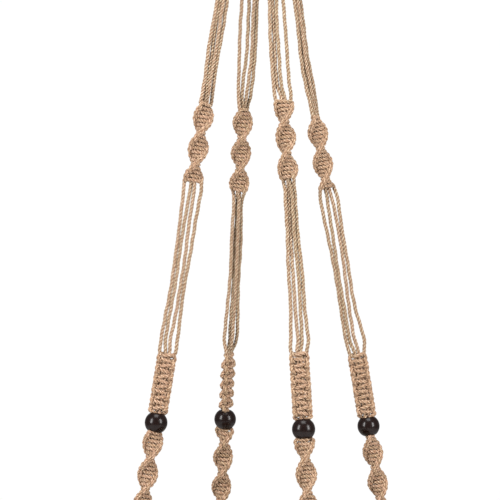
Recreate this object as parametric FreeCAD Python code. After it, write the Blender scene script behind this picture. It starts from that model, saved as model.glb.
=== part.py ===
import FreeCAD, Part

# Hanging macrame planter.  Eight long jute cords are folded over a steel ring, which gives
# sixteen strands.  A gathering wrap binds them, and they run down as four legs of four.
# Each leg has a spiral sinnet, an open stretch, a square sinnet, a wooden bead and a second
# spiral sinnet.  Below the pot's rim each leg splits in two pairs, neighbouring pairs are
# tied in a cradle knot, and all strands meet under the pot in a second wrap and a tassel.
#
# Millimetres, +Z up.  The origin is where a hook bears on the inside of the ring.
# The ring lies in the XZ plane, and the legs stand at 45 degrees to X and Y.

import os
from math import atan, cos, degrees, hypot, pi, radians, sin, sqrt, tan

from FreeCAD import Vector

# ---- driving dimensions -------------------------------------------------------------------

cord_diameter = 3.0
wrap_gap = 0.15               # between strands side by side in the wraps and the beads
row_gap = 0.4                 # between strands side by side in a row of four
clearance = 0.3               # between bodies that move past each other

ring_outside_diameter = 50.0
ring_wire_diameter = 5.0
loop_clearance = 1.0          # between the ring's wire and the folded cords

loop_drop = 15.0              # from the ring's underside to the top wrap
top_wrap_length = 32.0
bottom_wrap_length = 32.0
wrap_fit = 0.1                # between the wrapped strands and the wrap
below_wrap = 8.0              # upright stretch of the strands outside a wrap
root_bend_radius = 60.0       # where a leg's strands turn outwards below the top wrap
sinnet_lead = 10.0            # straight stretch of the strands next to a sinnet

leg_slope = 0.173             # outward run of a leg for each millimetre of drop
open_spread = 1.5             # how much wider than a row the open strands stand
turned_outer = 1.43           # offsets of the outer and inner strands half way through their
turned_inner = 0.45           # turn from a square to a row, in strand pitches
turned_place = 0.33           # share of the upper stretch where the strands are half turned
turned_facing = 0.25          # share of the spiral's facing that they have there
open_place = 0.68             # the same two shares where the strands stand widest
open_facing = 0.8
middle_open_place = 0.4       # share of the middle stretch where the strands stand widest

spiral_width = 17.0
sinnet_layers = 3             # cords that make up the thickness of a sinnet
spiral_step = 22.5            # turn of the spiral with each half knot, degrees
square_width = 18.0

bead_diameter = 20.4
bead_hole_clearance = 0.47    # round the four strands
bead_edge_radius = 0.8
bead_flat = 0.64              # flat ring between the hole's edge and the ball
bead_gap = 0.5                # between a bead and the sinnet above or below it

pot_rim_diameter = 232.0
pot_base_diameter = 160.0
pot_height = 180.0
pot_wall = 5.0
pot_rim_rounding = 0.45       # radius of the rim's edges as a share of the wall
pot_floor = 7.0
pot_base_edge_radius = 8.0
pot_inner_edge_radius = 10.0
pot_foot_height = 2.0
pot_foot_width = 6.0
rim_below_spiral = 16.0       # from the lower spirals' end to the pot's rim

cradle_knot_drop = 70.0       # from the pot's rim to the top of the cradle knots
cradle_half_knots = 4
cradle_half_knot_length = 4.75
cradle_knot_standoff = 1.0    # curvature of the pot under the flat knot
cradle_runs = 4               # straight runs of a pair on its way round the pot
cradle_chord_gap = 0.8        # how far those runs cut inside their points
leg_to_knot = 45.0            # degrees from a leg to the cradle knots beside it
arc_share = 0.45              # share of the shorter run that the arc of a corner may take

pot_to_bottom_wrap = 44.0
tassel_length = 200.0
tassel_end_diameter = 34.0

# Each leg: its azimuth, then for each sinnet its start along the leg from the root of the
# legs, its half knots, their length, and the way that its wide side faces where it starts,
# in degrees from square across the leg.  The lower spiral starts under the bead.
LEGS = {
    "front_left": {"azimuth": 225.0, "spiral": (282.5, 20, 3.60, 56.0),
                   "square": (510.0, 11, 4.75, 110.0), "lower_spiral": (21, 3.55, 72.0)},
    "front_right": {"azimuth": 315.0, "spiral": (281.0, 20, 3.55, 14.0),
                    "square": (507.5, 12, 4.75, 20.0), "lower_spiral": (23, 3.55, 25.0)},
    "back_left": {"azimuth": 135.0, "spiral": (283.0, 22, 3.53, -42.0),
                  "square": (514.5, 11, 4.75, 136.0), "lower_spiral": (22, 3.55, 45.0)},
    "back_right": {"azimuth": 45.0, "spiral": (291.5, 19, 3.50, 35.0),
                   "square": (512.5, 12, 4.75, 110.0), "lower_spiral": (22, 3.55, 33.0)},
}

# Each cradle knot and its azimuth, half way between two legs.
KNOTS = {"front": 270.0, "right": 0.0, "back": 90.0, "left": 180.0}

# ---- dimensions that follow ---------------------------------------------------------------

cord_radius = cord_diameter / 2
cord_pitch = cord_diameter + wrap_gap
row_pitch = cord_diameter + row_gap
sinnet_thickness = sinnet_layers * cord_diameter
knot_lead = 2 * cord_diameter            # straight stretch of a strand next to a cradle knot
rim_lead = 3 * cord_diameter             # from the rim to the first bend on the wall
wire_radius = ring_wire_diameter / 2
ring_radius = (ring_outside_diameter - ring_wire_diameter) / 2
ring_centre_z = wire_radius - ring_radius
wire_bottom_z = ring_centre_z - ring_radius

wrap_inside_radius = 1.5 * cord_pitch * sqrt(2) + cord_radius + wrap_fit
wrap_outside_radius = wrap_inside_radius + cord_diameter
top_wrap_z = wire_bottom_z - wire_radius - loop_drop
leg_root_z = top_wrap_z - top_wrap_length - below_wrap
block_radius = cord_pitch * sqrt(2)      # from the axis to the middle of a leg's four strands
leg_angle = atan(leg_slope)

bead_hole_radius = cord_pitch / sqrt(2) + cord_radius + bead_hole_clearance
bead_end_radius = bead_hole_radius + bead_edge_radius + bead_flat
bead_length = 2 * sqrt((bead_diameter / 2) ** 2 - bead_end_radius ** 2)
bead_room = bead_length + 2 * bead_gap

pot_rim_radius = pot_rim_diameter / 2
pot_base_radius = pot_base_diameter / 2
pot_slope = (pot_rim_radius - pot_base_radius) / pot_height
cradle_knot_length = cradle_half_knots * cradle_half_knot_length


def leg_stations(name):
    """For each sinnet of a leg: its start and end along the leg, its half knots and facing."""
    spiral, turns, turn_length, spiral_facing = LEGS[name]["spiral"]
    square, knots, knot_length, square_facing = LEGS[name]["square"]
    low_turns, low_length, low_facing = LEGS[name]["lower_spiral"]
    square_end = square + knots * knot_length
    low = square_end + bead_room
    return {"spiral": (spiral, spiral + turns * turn_length, turns, spiral_facing),
            "square": (square, square_end, knots, square_facing),
            "lower_spiral": (low, low + low_turns * low_length, low_turns, low_facing)}


def spiral_end_facing(facing, half_knots):
    """The way a spiral's wide side faces where it ends, within 90 degrees of square across."""
    return (facing + half_knots * spiral_step + 90.0) % 180.0 - 90.0


lowest_spiral_end = max(leg_stations(name)["lower_spiral"][1] for name in LEGS)
rim_z = leg_root_z - lowest_spiral_end * cos(leg_angle) - rim_below_spiral
base_z = rim_z - pot_height
bottom_wrap_z = base_z - pot_to_bottom_wrap
tassel_z = bottom_wrap_z - bottom_wrap_length

# A leg's four strands come out of a wrap as a square seen corner on, turn half way, and lie
# in a row.  Each stage gives (outward, sideways) offsets from the leg's middle line.
half_diagonal = cord_pitch / sqrt(2)
SQUARE_STAGE = [(0, -half_diagonal), (-half_diagonal, 0), (half_diagonal, 0), (0, half_diagonal)]
outer, inner = turned_outer * cord_pitch, turned_inner * cord_pitch
TURNED_STAGE = [(0, -outer), (-inner, -inner), (inner, inner), (0, outer)]
ROW = [-1.5 * row_pitch, -0.5 * row_pitch, 0.5 * row_pitch, 1.5 * row_pitch]
ROW_STAGE = [(0, sideways) for sideways in ROW]
OPEN_STAGE = [(0, sideways * open_spread) for sideways in ROW]

smallest_radii = {}


# ---- cords --------------------------------------------------------------------------------

def cord(node, points, forced=None):
    """A round cord: straight runs joined by tangent arcs.

    An arc is as large as its runs allow: its share of the shorter run divided by the tangent
    of half the turn, unless `forced` gives a radius for that corner."""
    forced = forced or {}
    edges = []
    start = points[0]
    for index in range(1, len(points) - 1):
        corner = points[index]
        back, ahead = points[index - 1] - corner, points[index + 1] - corner
        half_turn = (pi - back.getAngle(ahead)) / 2
        if half_turn < radians(0.05):
            continue
        shorter = min(back.Length, ahead.Length)
        radius = forced.get(index, arc_share * shorter / tan(half_turn))
        reach = radius * tan(half_turn)
        back.normalize()
        ahead.normalize()
        inward = back + ahead
        inward.normalize()
        first, last = corner + back * reach, corner + ahead * reach
        middle = corner + inward * (radius / cos(half_turn) - radius)
        edges += [Part.LineSegment(start, first).toShape(), Part.Arc(first, middle, last).toShape()]
        start = last
        smallest_radii[node] = min(radius, smallest_radii.get(node, radius))
    edges.append(Part.LineSegment(start, points[-1]).toShape())
    return sweep(edges, points[0], points[1] - points[0])


def sweep(edges, start, direction):
    """A solid cord along a chain of edges."""
    section = Part.Wire([Part.makeCircle(cord_radius, start, direction)])
    tube = Part.Wire(edges).makePipeShell([section], True, False)
    length = sum(edge.Length for edge in edges)
    full = pi * cord_radius ** 2 * length
    if not tube.isValid() or abs(tube.Volume - full) > 0.01 * full:
        raise ValueError("a cord's volume differs from its section times its length")
    return tube


# ---- ring, loops and wraps ----------------------------------------------------------------

def make_ring():
    """A ring of round wire, welded closed."""
    return Part.makeTorus(ring_radius, wire_radius, Vector(0, 0, ring_centre_z), Vector(0, 1, 0))


def make_cord_loops():
    """The eight cords where they fold over the ring: two layers of four side by side."""
    loops = []
    for column in range(4):
        x = (column - 1.5) * cord_pitch
        centre = Vector(x, 0, ring_centre_z - sqrt(ring_radius ** 2 - x ** 2))
        for layer in range(2):
            radius = wire_radius + loop_clearance + cord_radius + layer * cord_pitch
            foot = (layer + 0.5) * cord_pitch
            loops.append(fold(centre, radius, foot))
    return Part.makeCompound(loops)


def fold(centre, radius, foot):
    """One cord up to the wire, round it in an arc, and down: its ends stand `foot` from Y = 0."""
    rise = centre.z - top_wrap_z
    distance = hypot(foot, rise)
    lean = atan(foot / rise) + pi / 2 - atan(radius / sqrt(distance ** 2 - radius ** 2))
    touch = Vector(0, cos(pi / 2 - lean) * radius, -sin(pi / 2 - lean) * radius)
    left = centre + Vector(0, -touch.y, touch.z)
    right = centre + touch
    top = centre + Vector(0, 0, radius)
    start, end = Vector(centre.x, -foot, top_wrap_z), Vector(centre.x, foot, top_wrap_z)
    # The ends run on past the wrap's face and are trimmed level with it.
    start += (start - left).normalize() * cord_radius
    end += (end - right).normalize() * cord_radius
    edges = [Part.LineSegment(start, left).toShape(), Part.Arc(left, top, right).toShape(),
             Part.LineSegment(right, end).toShape()]
    below = Part.makeBox(ring_outside_diameter, ring_outside_diameter, cord_diameter,
                         Vector(-ring_outside_diameter / 2, -ring_outside_diameter / 2,
                                top_wrap_z - cord_diameter))
    return sweep(edges, start, left - start).cut(below)


def make_wrap(top_z, length):
    """A cord wound tightly round the sixteen strands, as a plain sleeve."""
    bottom = Vector(0, 0, top_z - length)
    sleeve = Part.makeCylinder(wrap_outside_radius, length, bottom)
    return sleeve.cut(Part.makeCylinder(wrap_inside_radius, length, bottom))


# ---- legs ---------------------------------------------------------------------------------

class Leg:
    """The frame of one leg: `along` its middle line, `outward` and `sideways` from it."""

    def __init__(self, azimuth):
        self.azimuth = radians(azimuth)
        self.level = Vector(cos(self.azimuth), sin(self.azimuth), 0)
        self.sideways = Vector(-sin(self.azimuth), cos(self.azimuth), 0)
        self.along = self.level * sin(leg_angle) - Vector(0, 0, cos(leg_angle))
        self.outward = self.level * cos(leg_angle) + Vector(0, 0, sin(leg_angle))
        self.root = self.level * block_radius + Vector(0, 0, leg_root_z)

    def wide(self, facing):
        """The direction of a sinnet's wide side."""
        return self.sideways * cos(radians(facing)) + self.outward * sin(radians(facing))

    def thin(self, facing):
        """The direction of a sinnet's thickness."""
        return self.outward * cos(radians(facing)) - self.sideways * sin(radians(facing))

    def at(self, distance, offset=(0, 0), facing=0.0):
        """A point along the leg, with a (thin, wide) offset from its middle line."""
        across = self.thin(facing) * offset[0] + self.wide(facing) * offset[1]
        return self.root + self.along * distance + across

    def upright(self, z, offset):
        """A point on a strand where it still runs straight down, in or just below the wrap."""
        level = self.level * (block_radius + offset[0]) + self.sideways * offset[1]
        return Vector(level.x, level.y, z)


def make_upper_strands(node, leg, end, facing):
    """Four strands from the top wrap's upper end down to the upper spiral."""
    strands = []
    for strand in range(4):
        points = [leg.upright(top_wrap_z, SQUARE_STAGE[strand]),
                  leg.upright(leg_root_z, SQUARE_STAGE[strand]),
                  leg.at(turned_place * end, TURNED_STAGE[strand], turned_facing * facing),
                  leg.at(open_place * end, OPEN_STAGE[strand], open_facing * facing),
                  leg.at(end - sinnet_lead, ROW_STAGE[strand], facing),
                  leg.at(end, ROW_STAGE[strand], facing)]
        strands.append(cord(node, points, {1: root_bend_radius}))
    return Part.makeCompound(strands)


def make_middle_strands(node, leg, start, end, start_facing, end_facing):
    """Four open strands between the upper spiral and the square sinnet."""
    change = (end_facing - start_facing + 90.0) % 180.0 - 90.0
    widest = start + middle_open_place * (end - start)
    strands = []
    for strand in range(4):
        points = [leg.at(start, ROW_STAGE[strand], start_facing),
                  leg.at(start + sinnet_lead, ROW_STAGE[strand], start_facing),
                  leg.at(widest, OPEN_STAGE[strand], start_facing + middle_open_place * change),
                  leg.at(end - sinnet_lead, ROW_STAGE[strand], start_facing + change),
                  leg.at(end, ROW_STAGE[strand], start_facing + change)]
        strands.append(cord(node, points))
    return Part.makeCompound(strands)


def make_spiral_sinnet(leg, start, end, half_knots, facing):
    """Half knots all tied the same way: a flat oval that turns a step with each knot."""
    length = end - start
    spine = Part.Wire([Part.LineSegment(Vector(0, 0, 0), Vector(0, 0, length)).toShape()])
    whole_turn = length / half_knots * 360.0 / spiral_step
    guide = Part.Wire(Part.makeHelix(whole_turn, length, spiral_width).Edges)
    section = Part.Wire([Part.Ellipse(Vector(0, 0, 0), spiral_width / 2, sinnet_thickness / 2).toShape()])
    shell = Part.BRepOffsetAPI.MakePipeShell(spine)
    shell.setAuxiliarySpine(guide, True, 0)
    shell.add(section)
    shell.build()
    shell.makeSolid()
    return stood_on_leg(shell.shape(), leg, start, facing)


def stood_on_leg(shape, leg, distance, facing=0.0):
    """A shape made upright at the origin, moved to a leg: +Z down the leg, +X the wide way."""
    moved = shape.copy()
    turn = FreeCAD.Rotation(leg.wide(facing), leg.thin(facing), leg.along, "ZXY")
    moved.Placement = FreeCAD.Placement(leg.at(distance), turn)
    return moved


def flat_sinnet(top, along, sideways, length):
    """A flat band of square knots: a bar with round edges, `top` at the middle of its end."""
    face_out = sideways.cross(along)
    half_flat = (square_width - sinnet_thickness) / 2
    near, far = sideways * half_flat, face_out * (sinnet_thickness / 2)
    corners = [top - near + far, top + near + far, top + near - far, top - near - far]
    right_end, left_end = top + sideways * (square_width / 2), top - sideways * (square_width / 2)
    edges = [Part.LineSegment(corners[0], corners[1]).toShape(),
             Part.Arc(corners[1], right_end, corners[2]).toShape(),
             Part.LineSegment(corners[2], corners[3]).toShape(),
             Part.Arc(corners[3], left_end, corners[0]).toShape()]
    return Part.Face(Part.Wire(edges)).extrude(along * length)


def make_bead(leg, centre_distance):
    """A turned wooden bead: a ball with its ends cut flat and a rounded through hole."""
    half, hole, edge = bead_length / 2, bead_hole_radius, bead_edge_radius
    profile = [Part.LineSegment(Vector(hole, 0, edge - half), Vector(hole, 0, half - edge)),
               Part.Arc(Vector(hole, 0, half - edge), Vector(hole + edge * (1 - sqrt(0.5)), 0,
                        half - edge * (1 - sqrt(0.5))), Vector(hole + edge, 0, half)),
               Part.LineSegment(Vector(hole + edge, 0, half), Vector(bead_end_radius, 0, half)),
               Part.Arc(Vector(bead_end_radius, 0, half), Vector(bead_diameter / 2, 0, 0),
                        Vector(bead_end_radius, 0, -half)),
               Part.LineSegment(Vector(bead_end_radius, 0, -half), Vector(hole + edge, 0, -half)),
               Part.Arc(Vector(hole + edge, 0, -half), Vector(hole + edge * (1 - sqrt(0.5)), 0,
                        edge * (1 - sqrt(0.5)) - half), Vector(hole, 0, edge - half))]
    face = Part.Face(Part.Wire([edge_curve.toShape() for edge_curve in profile]))
    return stood_on_leg(face.revolve(Vector(0, 0, 0), Vector(0, 0, 1), 360), leg, centre_distance)


def make_bead_strands(leg, start, end):
    """The four strands where they pass through the bead side by side."""
    half = cord_pitch / 2
    return Part.makeCompound([
        Part.makeCylinder(cord_radius, end - start, leg.at(start, (outward, sideways)), leg.along)
        for outward in (-half, half) for sideways in (-half, half)])


# ---- cradle -------------------------------------------------------------------------------

def on_pot(azimuth, z, standoff):
    """A point outside the pot's wall, `azimuth` in radians."""
    radius = pot_base_radius + (z - base_z) * pot_slope + standoff
    return Vector(radius * cos(azimuth), radius * sin(azimuth), z)


class Knot:
    """The frame of one cradle knot, lying flat on the pot's wall."""

    def __init__(self, azimuth):
        self.azimuth = radians(azimuth)
        wall_angle = atan(pot_slope)
        level = Vector(cos(self.azimuth), sin(self.azimuth), 0)
        self.level = level
        self.sideways = Vector(-sin(self.azimuth), cos(self.azimuth), 0)
        self.along = level * -sin(wall_angle) - Vector(0, 0, cos(wall_angle))
        self.outward = level * cos(wall_angle) - Vector(0, 0, sin(wall_angle))
        standoff = sinnet_thickness / 2 + clearance + cradle_knot_standoff
        self.top = on_pot(self.azimuth, rim_z - cradle_knot_drop, 0) + self.outward * standoff

    def at(self, distance, sideways, outward=0.0):
        return self.top + self.along * distance + self.sideways * sideways + self.outward * outward


cord_standoff = cord_radius + clearance + cradle_chord_gap


def make_rim_strands(node, leg, start, facing):
    """Four strands of a leg, two to the knot on each side, lying on the pot's wall."""
    strands = []
    middle_radius = pot_rim_radius - cradle_knot_drop * pot_slope / 2
    bend_z = rim_z - rim_lead
    end_z = rim_z - cradle_knot_drop + 2 * rim_lead
    quarter = middle_radius * radians(leg_to_knot)
    for side in (-1, 1):
        knot = Knot(degrees(leg.azimuth) + side * leg_to_knot)
        reach = quarter - 2 * row_pitch
        fall = bend_z - end_z
        slant = hypot(reach, fall)
        for lane in (-0.5, 0.5):
            leg_side = (side + lane) * row_pitch
            # Keeps the two cords of a pair one pitch apart through both corners of the route.
            corner_shift = side * lane * row_pitch * (slant - fall) / reach
            over_rim = leg.azimuth + leg_side / pot_rim_radius
            points = [leg.at(start, (0, leg_side), facing),
                      leg.at(start + knot_lead, (0, leg_side), facing),
                      on_pot(over_rim, rim_z, cord_standoff)]
            for run in range(cradle_runs + 1):
                share = run / cradle_runs
                across = leg_side + side * reach * share
                z = bend_z - fall * share + corner_shift
                points.append(on_pot(leg.azimuth + across / middle_radius, z, cord_standoff))
            knot_side = leg_side + side * (reach - quarter)
            points += [knot.at(-rim_lead, knot_side), knot.at(0, knot_side)]
            strands.append(cord(node, points))
    return Part.makeCompound(strands)


def make_lower_strands(node, knot):
    """Four strands from a cradle knot, round the pot's base edge, into the bottom wrap."""
    edge_arc = pot_base_edge_radius + clearance + cord_radius
    drop = base_z - bottom_wrap_z
    under_angle = atan((drop - below_wrap) / (pot_base_radius - block_radius))
    wall_angle = atan(pot_slope)
    edge_turn = (pi / 2 - wall_angle - under_angle) / 2
    strands = []
    for strand in range(4):
        outward, sideways = SQUARE_STAGE[strand]
        turned_out, turned_side = TURNED_STAGE[strand]
        corner = on_pot(knot.azimuth, base_z, 0) + knot.sideways * ROW[strand]
        corner += knot.level * (cord_radius + clearance) - Vector(0, 0, cord_radius + clearance)
        inner = knot.level * (block_radius + outward) + knot.sideways * sideways
        root = Vector(inner.x, inner.y, bottom_wrap_z + below_wrap - outward * tan(edge_turn))
        half_way = (corner + root) * 0.5
        half_way += knot.sideways * (turned_side - (ROW[strand] + sideways) / 2)
        half_way -= Vector(0, 0, turned_out)
        above_edge = on_pot(knot.azimuth, base_z + 2 * edge_arc, cord_standoff)
        above_edge += knot.sideways * ROW[strand]
        points = [knot.at(cradle_knot_length, ROW[strand]),
                  knot.at(cradle_knot_length + knot_lead, ROW[strand]),
                  above_edge, corner, half_way, root,
                  Vector(inner.x, inner.y, tassel_z)]
        strands.append(cord(node, points, {3: edge_arc, 5: below_wrap}))
    return Part.makeCompound(strands)


# ---- pot and tassel -----------------------------------------------------------------------

def make_pot():
    """A tapered pot with an even wall, a rounded rim and a foot ring."""
    base_inside = pot_base_radius - pot_wall + pot_floor * pot_slope
    rim_inside = pot_rim_radius - pot_wall
    foot = pot_base_radius - pot_base_edge_radius
    outline = [Vector(0, 0, base_z + pot_foot_height),
               Vector(foot - pot_foot_width, 0, base_z + pot_foot_height),
               Vector(foot - pot_foot_width, 0, base_z),
               Vector(pot_base_radius, 0, base_z),
               Vector(pot_rim_radius, 0, rim_z),
               Vector(rim_inside, 0, rim_z),
               Vector(base_inside, 0, base_z + pot_floor),
               Vector(0, 0, base_z + pot_floor)]
    face = Part.Face(Part.makePolygon(outline + outline[:1]))
    pot = face.revolve(Vector(0, 0, 0), Vector(0, 0, 1), 360)
    edges = {"base": [], "rim": [], "inner": []}
    for edge in pot.Edges:
        if not hasattr(edge.Curve, "Radius"):
            continue
        z, radius = edge.Curve.Center.z, edge.Curve.Radius
        if abs(z - base_z) < 0.01 and abs(radius - pot_base_radius) < 0.01:
            edges["base"].append(edge)
        if abs(z - rim_z) < 0.01:
            edges["rim"].append(edge)
        if abs(z - base_z - pot_floor) < 0.01:
            edges["inner"].append(edge)
    pot = pot.makeFillet(pot_base_edge_radius, edges["base"])
    pot = pot.makeFillet(pot_inner_edge_radius, edges["inner"])
    return pot.makeFillet(pot_rim_rounding * pot_wall, edges["rim"])


def make_tassel():
    """The sixteen cord ends hanging below the bottom wrap, as one plain flared body."""
    ball = wrap_inside_radius
    pivot_z = tassel_z - clearance - ball
    end_radius, end_z = tassel_end_diameter / 2, tassel_z - tassel_length
    edge = cord_radius
    profile = [Part.LineSegment(Vector(0, 0, end_z), Vector(end_radius - edge, 0, end_z)),
               Part.LineSegment(Vector(end_radius - edge, 0, end_z), Vector(end_radius, 0, end_z + edge)),
               Part.LineSegment(Vector(end_radius, 0, end_z + edge), Vector(ball, 0, pivot_z)),
               Part.Arc(Vector(ball, 0, pivot_z), Vector(ball * sqrt(0.5), 0, pivot_z + ball * sqrt(0.5)),
                        Vector(0, 0, pivot_z + ball)),
               Part.LineSegment(Vector(0, 0, pivot_z + ball), Vector(0, 0, end_z))]
    face = Part.Face(Part.Wire([curve.toShape() for curve in profile]))
    return face.revolve(Vector(0, 0, 0), Vector(0, 0, 1), 360)


# ---- the whole planter --------------------------------------------------------------------

def make_leg_nodes(name):
    """Every node of one leg, by its name."""
    leg = Leg(LEGS[name]["azimuth"])
    stations = leg_stations(name)
    spiral_start, spiral_end, turns, spiral_facing = stations["spiral"]
    square_start, square_end, _knots, square_facing = stations["square"]
    low_start, low_end, low_turns, low_facing = stations["lower_spiral"]
    upper, middle, rim = name + "_upper_strands", name + "_middle_strands", name + "_rim_strands"
    return {
        upper: make_upper_strands(upper, leg, spiral_start, spiral_facing),
        name + "_upper_spiral": make_spiral_sinnet(leg, spiral_start, spiral_end, turns,
                                                   spiral_facing),
        middle: make_middle_strands(middle, leg, spiral_end, square_start,
                                    spiral_end_facing(spiral_facing, turns), square_facing),
        name + "_square_sinnet": flat_sinnet(leg.at(square_start), leg.along,
                                             leg.wide(square_facing), square_end - square_start),
        name + "_bead": make_bead(leg, (square_end + low_start) / 2),
        name + "_bead_strands": make_bead_strands(leg, square_end, low_start),
        name + "_lower_spiral": make_spiral_sinnet(leg, low_start, low_end, low_turns, low_facing),
        rim: make_rim_strands(rim, leg, low_end, spiral_end_facing(low_facing, low_turns))}


def make_planter():
    """Every node of the planter, by its name."""
    nodes = {"ring": make_ring(), "cord_loops": make_cord_loops(),
             "top_wrap": make_wrap(top_wrap_z, top_wrap_length),
             "bottom_wrap": make_wrap(bottom_wrap_z, bottom_wrap_length),
             "pot": make_pot(), "tassel": make_tassel()}
    for name in LEGS:
        nodes.update(make_leg_nodes(name))
    for name, azimuth in KNOTS.items():
        knot = Knot(azimuth)
        lower = name + "_lower_strands"
        nodes[name + "_cradle_knot"] = flat_sinnet(knot.top, knot.along, knot.sideways,
                                                   cradle_knot_length)
        nodes[lower] = make_lower_strands(lower, knot)
    return nodes


os.makedirs("parts", exist_ok=True)
for node, shape in make_planter().items():
    if not shape.isValid() or shape.Volume <= 0:
        raise ValueError(node + " is not a valid solid")
    shape.exportStep("parts/" + node + ".step")
    print(node, "solids", len(shape.Solids), "volume", round(shape.Volume), "mm3",
          "smallest arc", round(smallest_radii.get(node, 0), 1))
print("leg angle", round(degrees(leg_angle), 2), "rim z", round(rim_z, 1), "base z", round(base_z, 1),
      "tassel end z", round(tassel_z - tassel_length, 1))
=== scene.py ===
# %% [markdown]
# # A hanging macrame planter
#
# Eight long jute cords are folded over a steel ring, which gives sixteen strands.  A wrap
# binds them, and four legs of four strands run down to a pot.  This lesson builds every
# strand as a real three-ply cord that follows the path it takes through its knots.
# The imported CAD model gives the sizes, the places and what moves, so it is loaded first.

# %% Load the frame
import math

import bmesh
import bpy
import mathutils
import numpy as np
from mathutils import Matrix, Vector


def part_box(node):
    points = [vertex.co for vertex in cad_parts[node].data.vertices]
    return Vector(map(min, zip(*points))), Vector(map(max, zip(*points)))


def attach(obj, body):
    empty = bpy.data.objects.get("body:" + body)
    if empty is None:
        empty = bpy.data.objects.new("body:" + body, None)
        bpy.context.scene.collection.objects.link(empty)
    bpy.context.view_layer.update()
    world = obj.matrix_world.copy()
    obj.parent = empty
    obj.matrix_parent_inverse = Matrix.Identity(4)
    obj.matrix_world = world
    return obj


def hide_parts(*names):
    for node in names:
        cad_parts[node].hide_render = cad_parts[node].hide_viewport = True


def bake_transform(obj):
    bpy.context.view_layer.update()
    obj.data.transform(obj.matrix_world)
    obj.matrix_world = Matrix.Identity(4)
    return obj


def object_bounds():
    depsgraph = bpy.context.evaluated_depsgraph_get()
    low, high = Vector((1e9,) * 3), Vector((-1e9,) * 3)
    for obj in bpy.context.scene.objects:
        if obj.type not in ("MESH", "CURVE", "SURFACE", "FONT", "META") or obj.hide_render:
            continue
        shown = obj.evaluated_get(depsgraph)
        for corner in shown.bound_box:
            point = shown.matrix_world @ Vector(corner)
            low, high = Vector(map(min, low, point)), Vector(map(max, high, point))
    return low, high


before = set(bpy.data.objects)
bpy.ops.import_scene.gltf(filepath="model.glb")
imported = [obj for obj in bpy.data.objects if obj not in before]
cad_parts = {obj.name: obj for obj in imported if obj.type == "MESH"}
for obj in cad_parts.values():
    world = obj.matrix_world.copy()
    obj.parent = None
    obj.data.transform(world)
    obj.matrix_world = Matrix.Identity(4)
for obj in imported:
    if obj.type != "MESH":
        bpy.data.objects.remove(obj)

CAD_BOX = [[float(value) for value in corner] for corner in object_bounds()]

# %% [markdown]
# ## Sizes
#
# Lengths are in metres unless their comment says otherwise.  The model's driving sizes are
# repeated here by name, and anything that follows from them is worked out.  Heights come from
# the boxes of the CAD nodes.

# %% Named sizes
MM = 0.001
CORD = 3.0 * MM                # diameter of a strand
PITCH = 3.15 * MM              # strands side by side in the wraps
ROW = 3.4 * MM                 # strands side by side in a row of four
CLEARANCE = 0.3 * MM           # between a cord and the pot
LEG_SLOPE = 0.173              # outward run of a leg for each millimetre of drop
RING_RADIUS = 22.5 * MM        # to the middle of the ring's wire
RING_CENTRE_Z = -20.0 * MM
WIRE = 5.0 * MM                # diameter of the ring's wire
BELOW_WRAP = 8.0 * MM          # upright stretch of the strands outside a wrap
BEAD_ROOM = 18.0 * MM          # from a square sinnet to the lower spiral
SPIRAL_STEP = 22.5             # degrees that a spiral turns with each half knot
BASE_RADIUS = 80.0 * MM        # of the pot
RIM_RADIUS = 116.0 * MM
POT_FILLET = 8.0 * MM          # rounding of the pot's lower edge
POT_WALL = 5.0 * MM
POT_FLOOR = 7.0 * MM
KNOT_DROP = 70.0 * MM          # from the rim to the cradle knots
KNOT_HALF_KNOTS = 4
HALF_KNOT_LENGTH = {"spiral": 3.55, "square": 4.75}    # of the relaxed half knots, in millimetres

# Each sinnet: start along the leg in millimetres, half knots, half-knot length in
# millimetres, and the way its wide side faces at the start, in degrees.
LEGS = {
    "front_left": {"azimuth": 225.0, "spiral": (282.5, 20, 3.60, 56.0),
                   "square": (510.0, 11, 4.75, 110.0), "lower_spiral": (21, 3.55, 72.0)},
    "front_right": {"azimuth": 315.0, "spiral": (281.0, 20, 3.55, 14.0),
                    "square": (507.5, 12, 4.75, 20.0), "lower_spiral": (23, 3.55, 25.0)},
    "back_left": {"azimuth": 135.0, "spiral": (283.0, 22, 3.53, -42.0),
                  "square": (514.5, 11, 4.75, 136.0), "lower_spiral": (22, 3.55, 45.0)},
    "back_right": {"azimuth": 45.0, "spiral": (291.5, 19, 3.50, 35.0),
                   "square": (512.5, 12, 4.75, 110.0), "lower_spiral": (22, 3.55, 33.0)},
}

top_wrap_low, top_wrap_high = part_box("top_wrap")
bottom_wrap_low, bottom_wrap_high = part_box("bottom_wrap")
pot_low, pot_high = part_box("pot")
POT_SLOPE = (RIM_RADIUS - BASE_RADIUS) / (pot_high.z - pot_low.z)
BLOCK = PITCH * math.sqrt(2)   # from the axis to the middle of a leg's four strands in a wrap
HALF_DIAGONAL = PITCH / math.sqrt(2)
LEG_ROOT_Z = top_wrap_low.z - BELOW_WRAP
print("wrap from", round(top_wrap_low.z, 4), "to", round(top_wrap_high.z, 4), "pot", round(pot_low.z, 4))

# %% [markdown]
# ## Shader arithmetic
#
# A material is a graph, and long sums are hard to read as a graph.  `Value` wraps a socket so
# that Python's operators add the Math nodes.  `Graph.node` makes every other node, and a
# `Finish` is the graph of one material.

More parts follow.
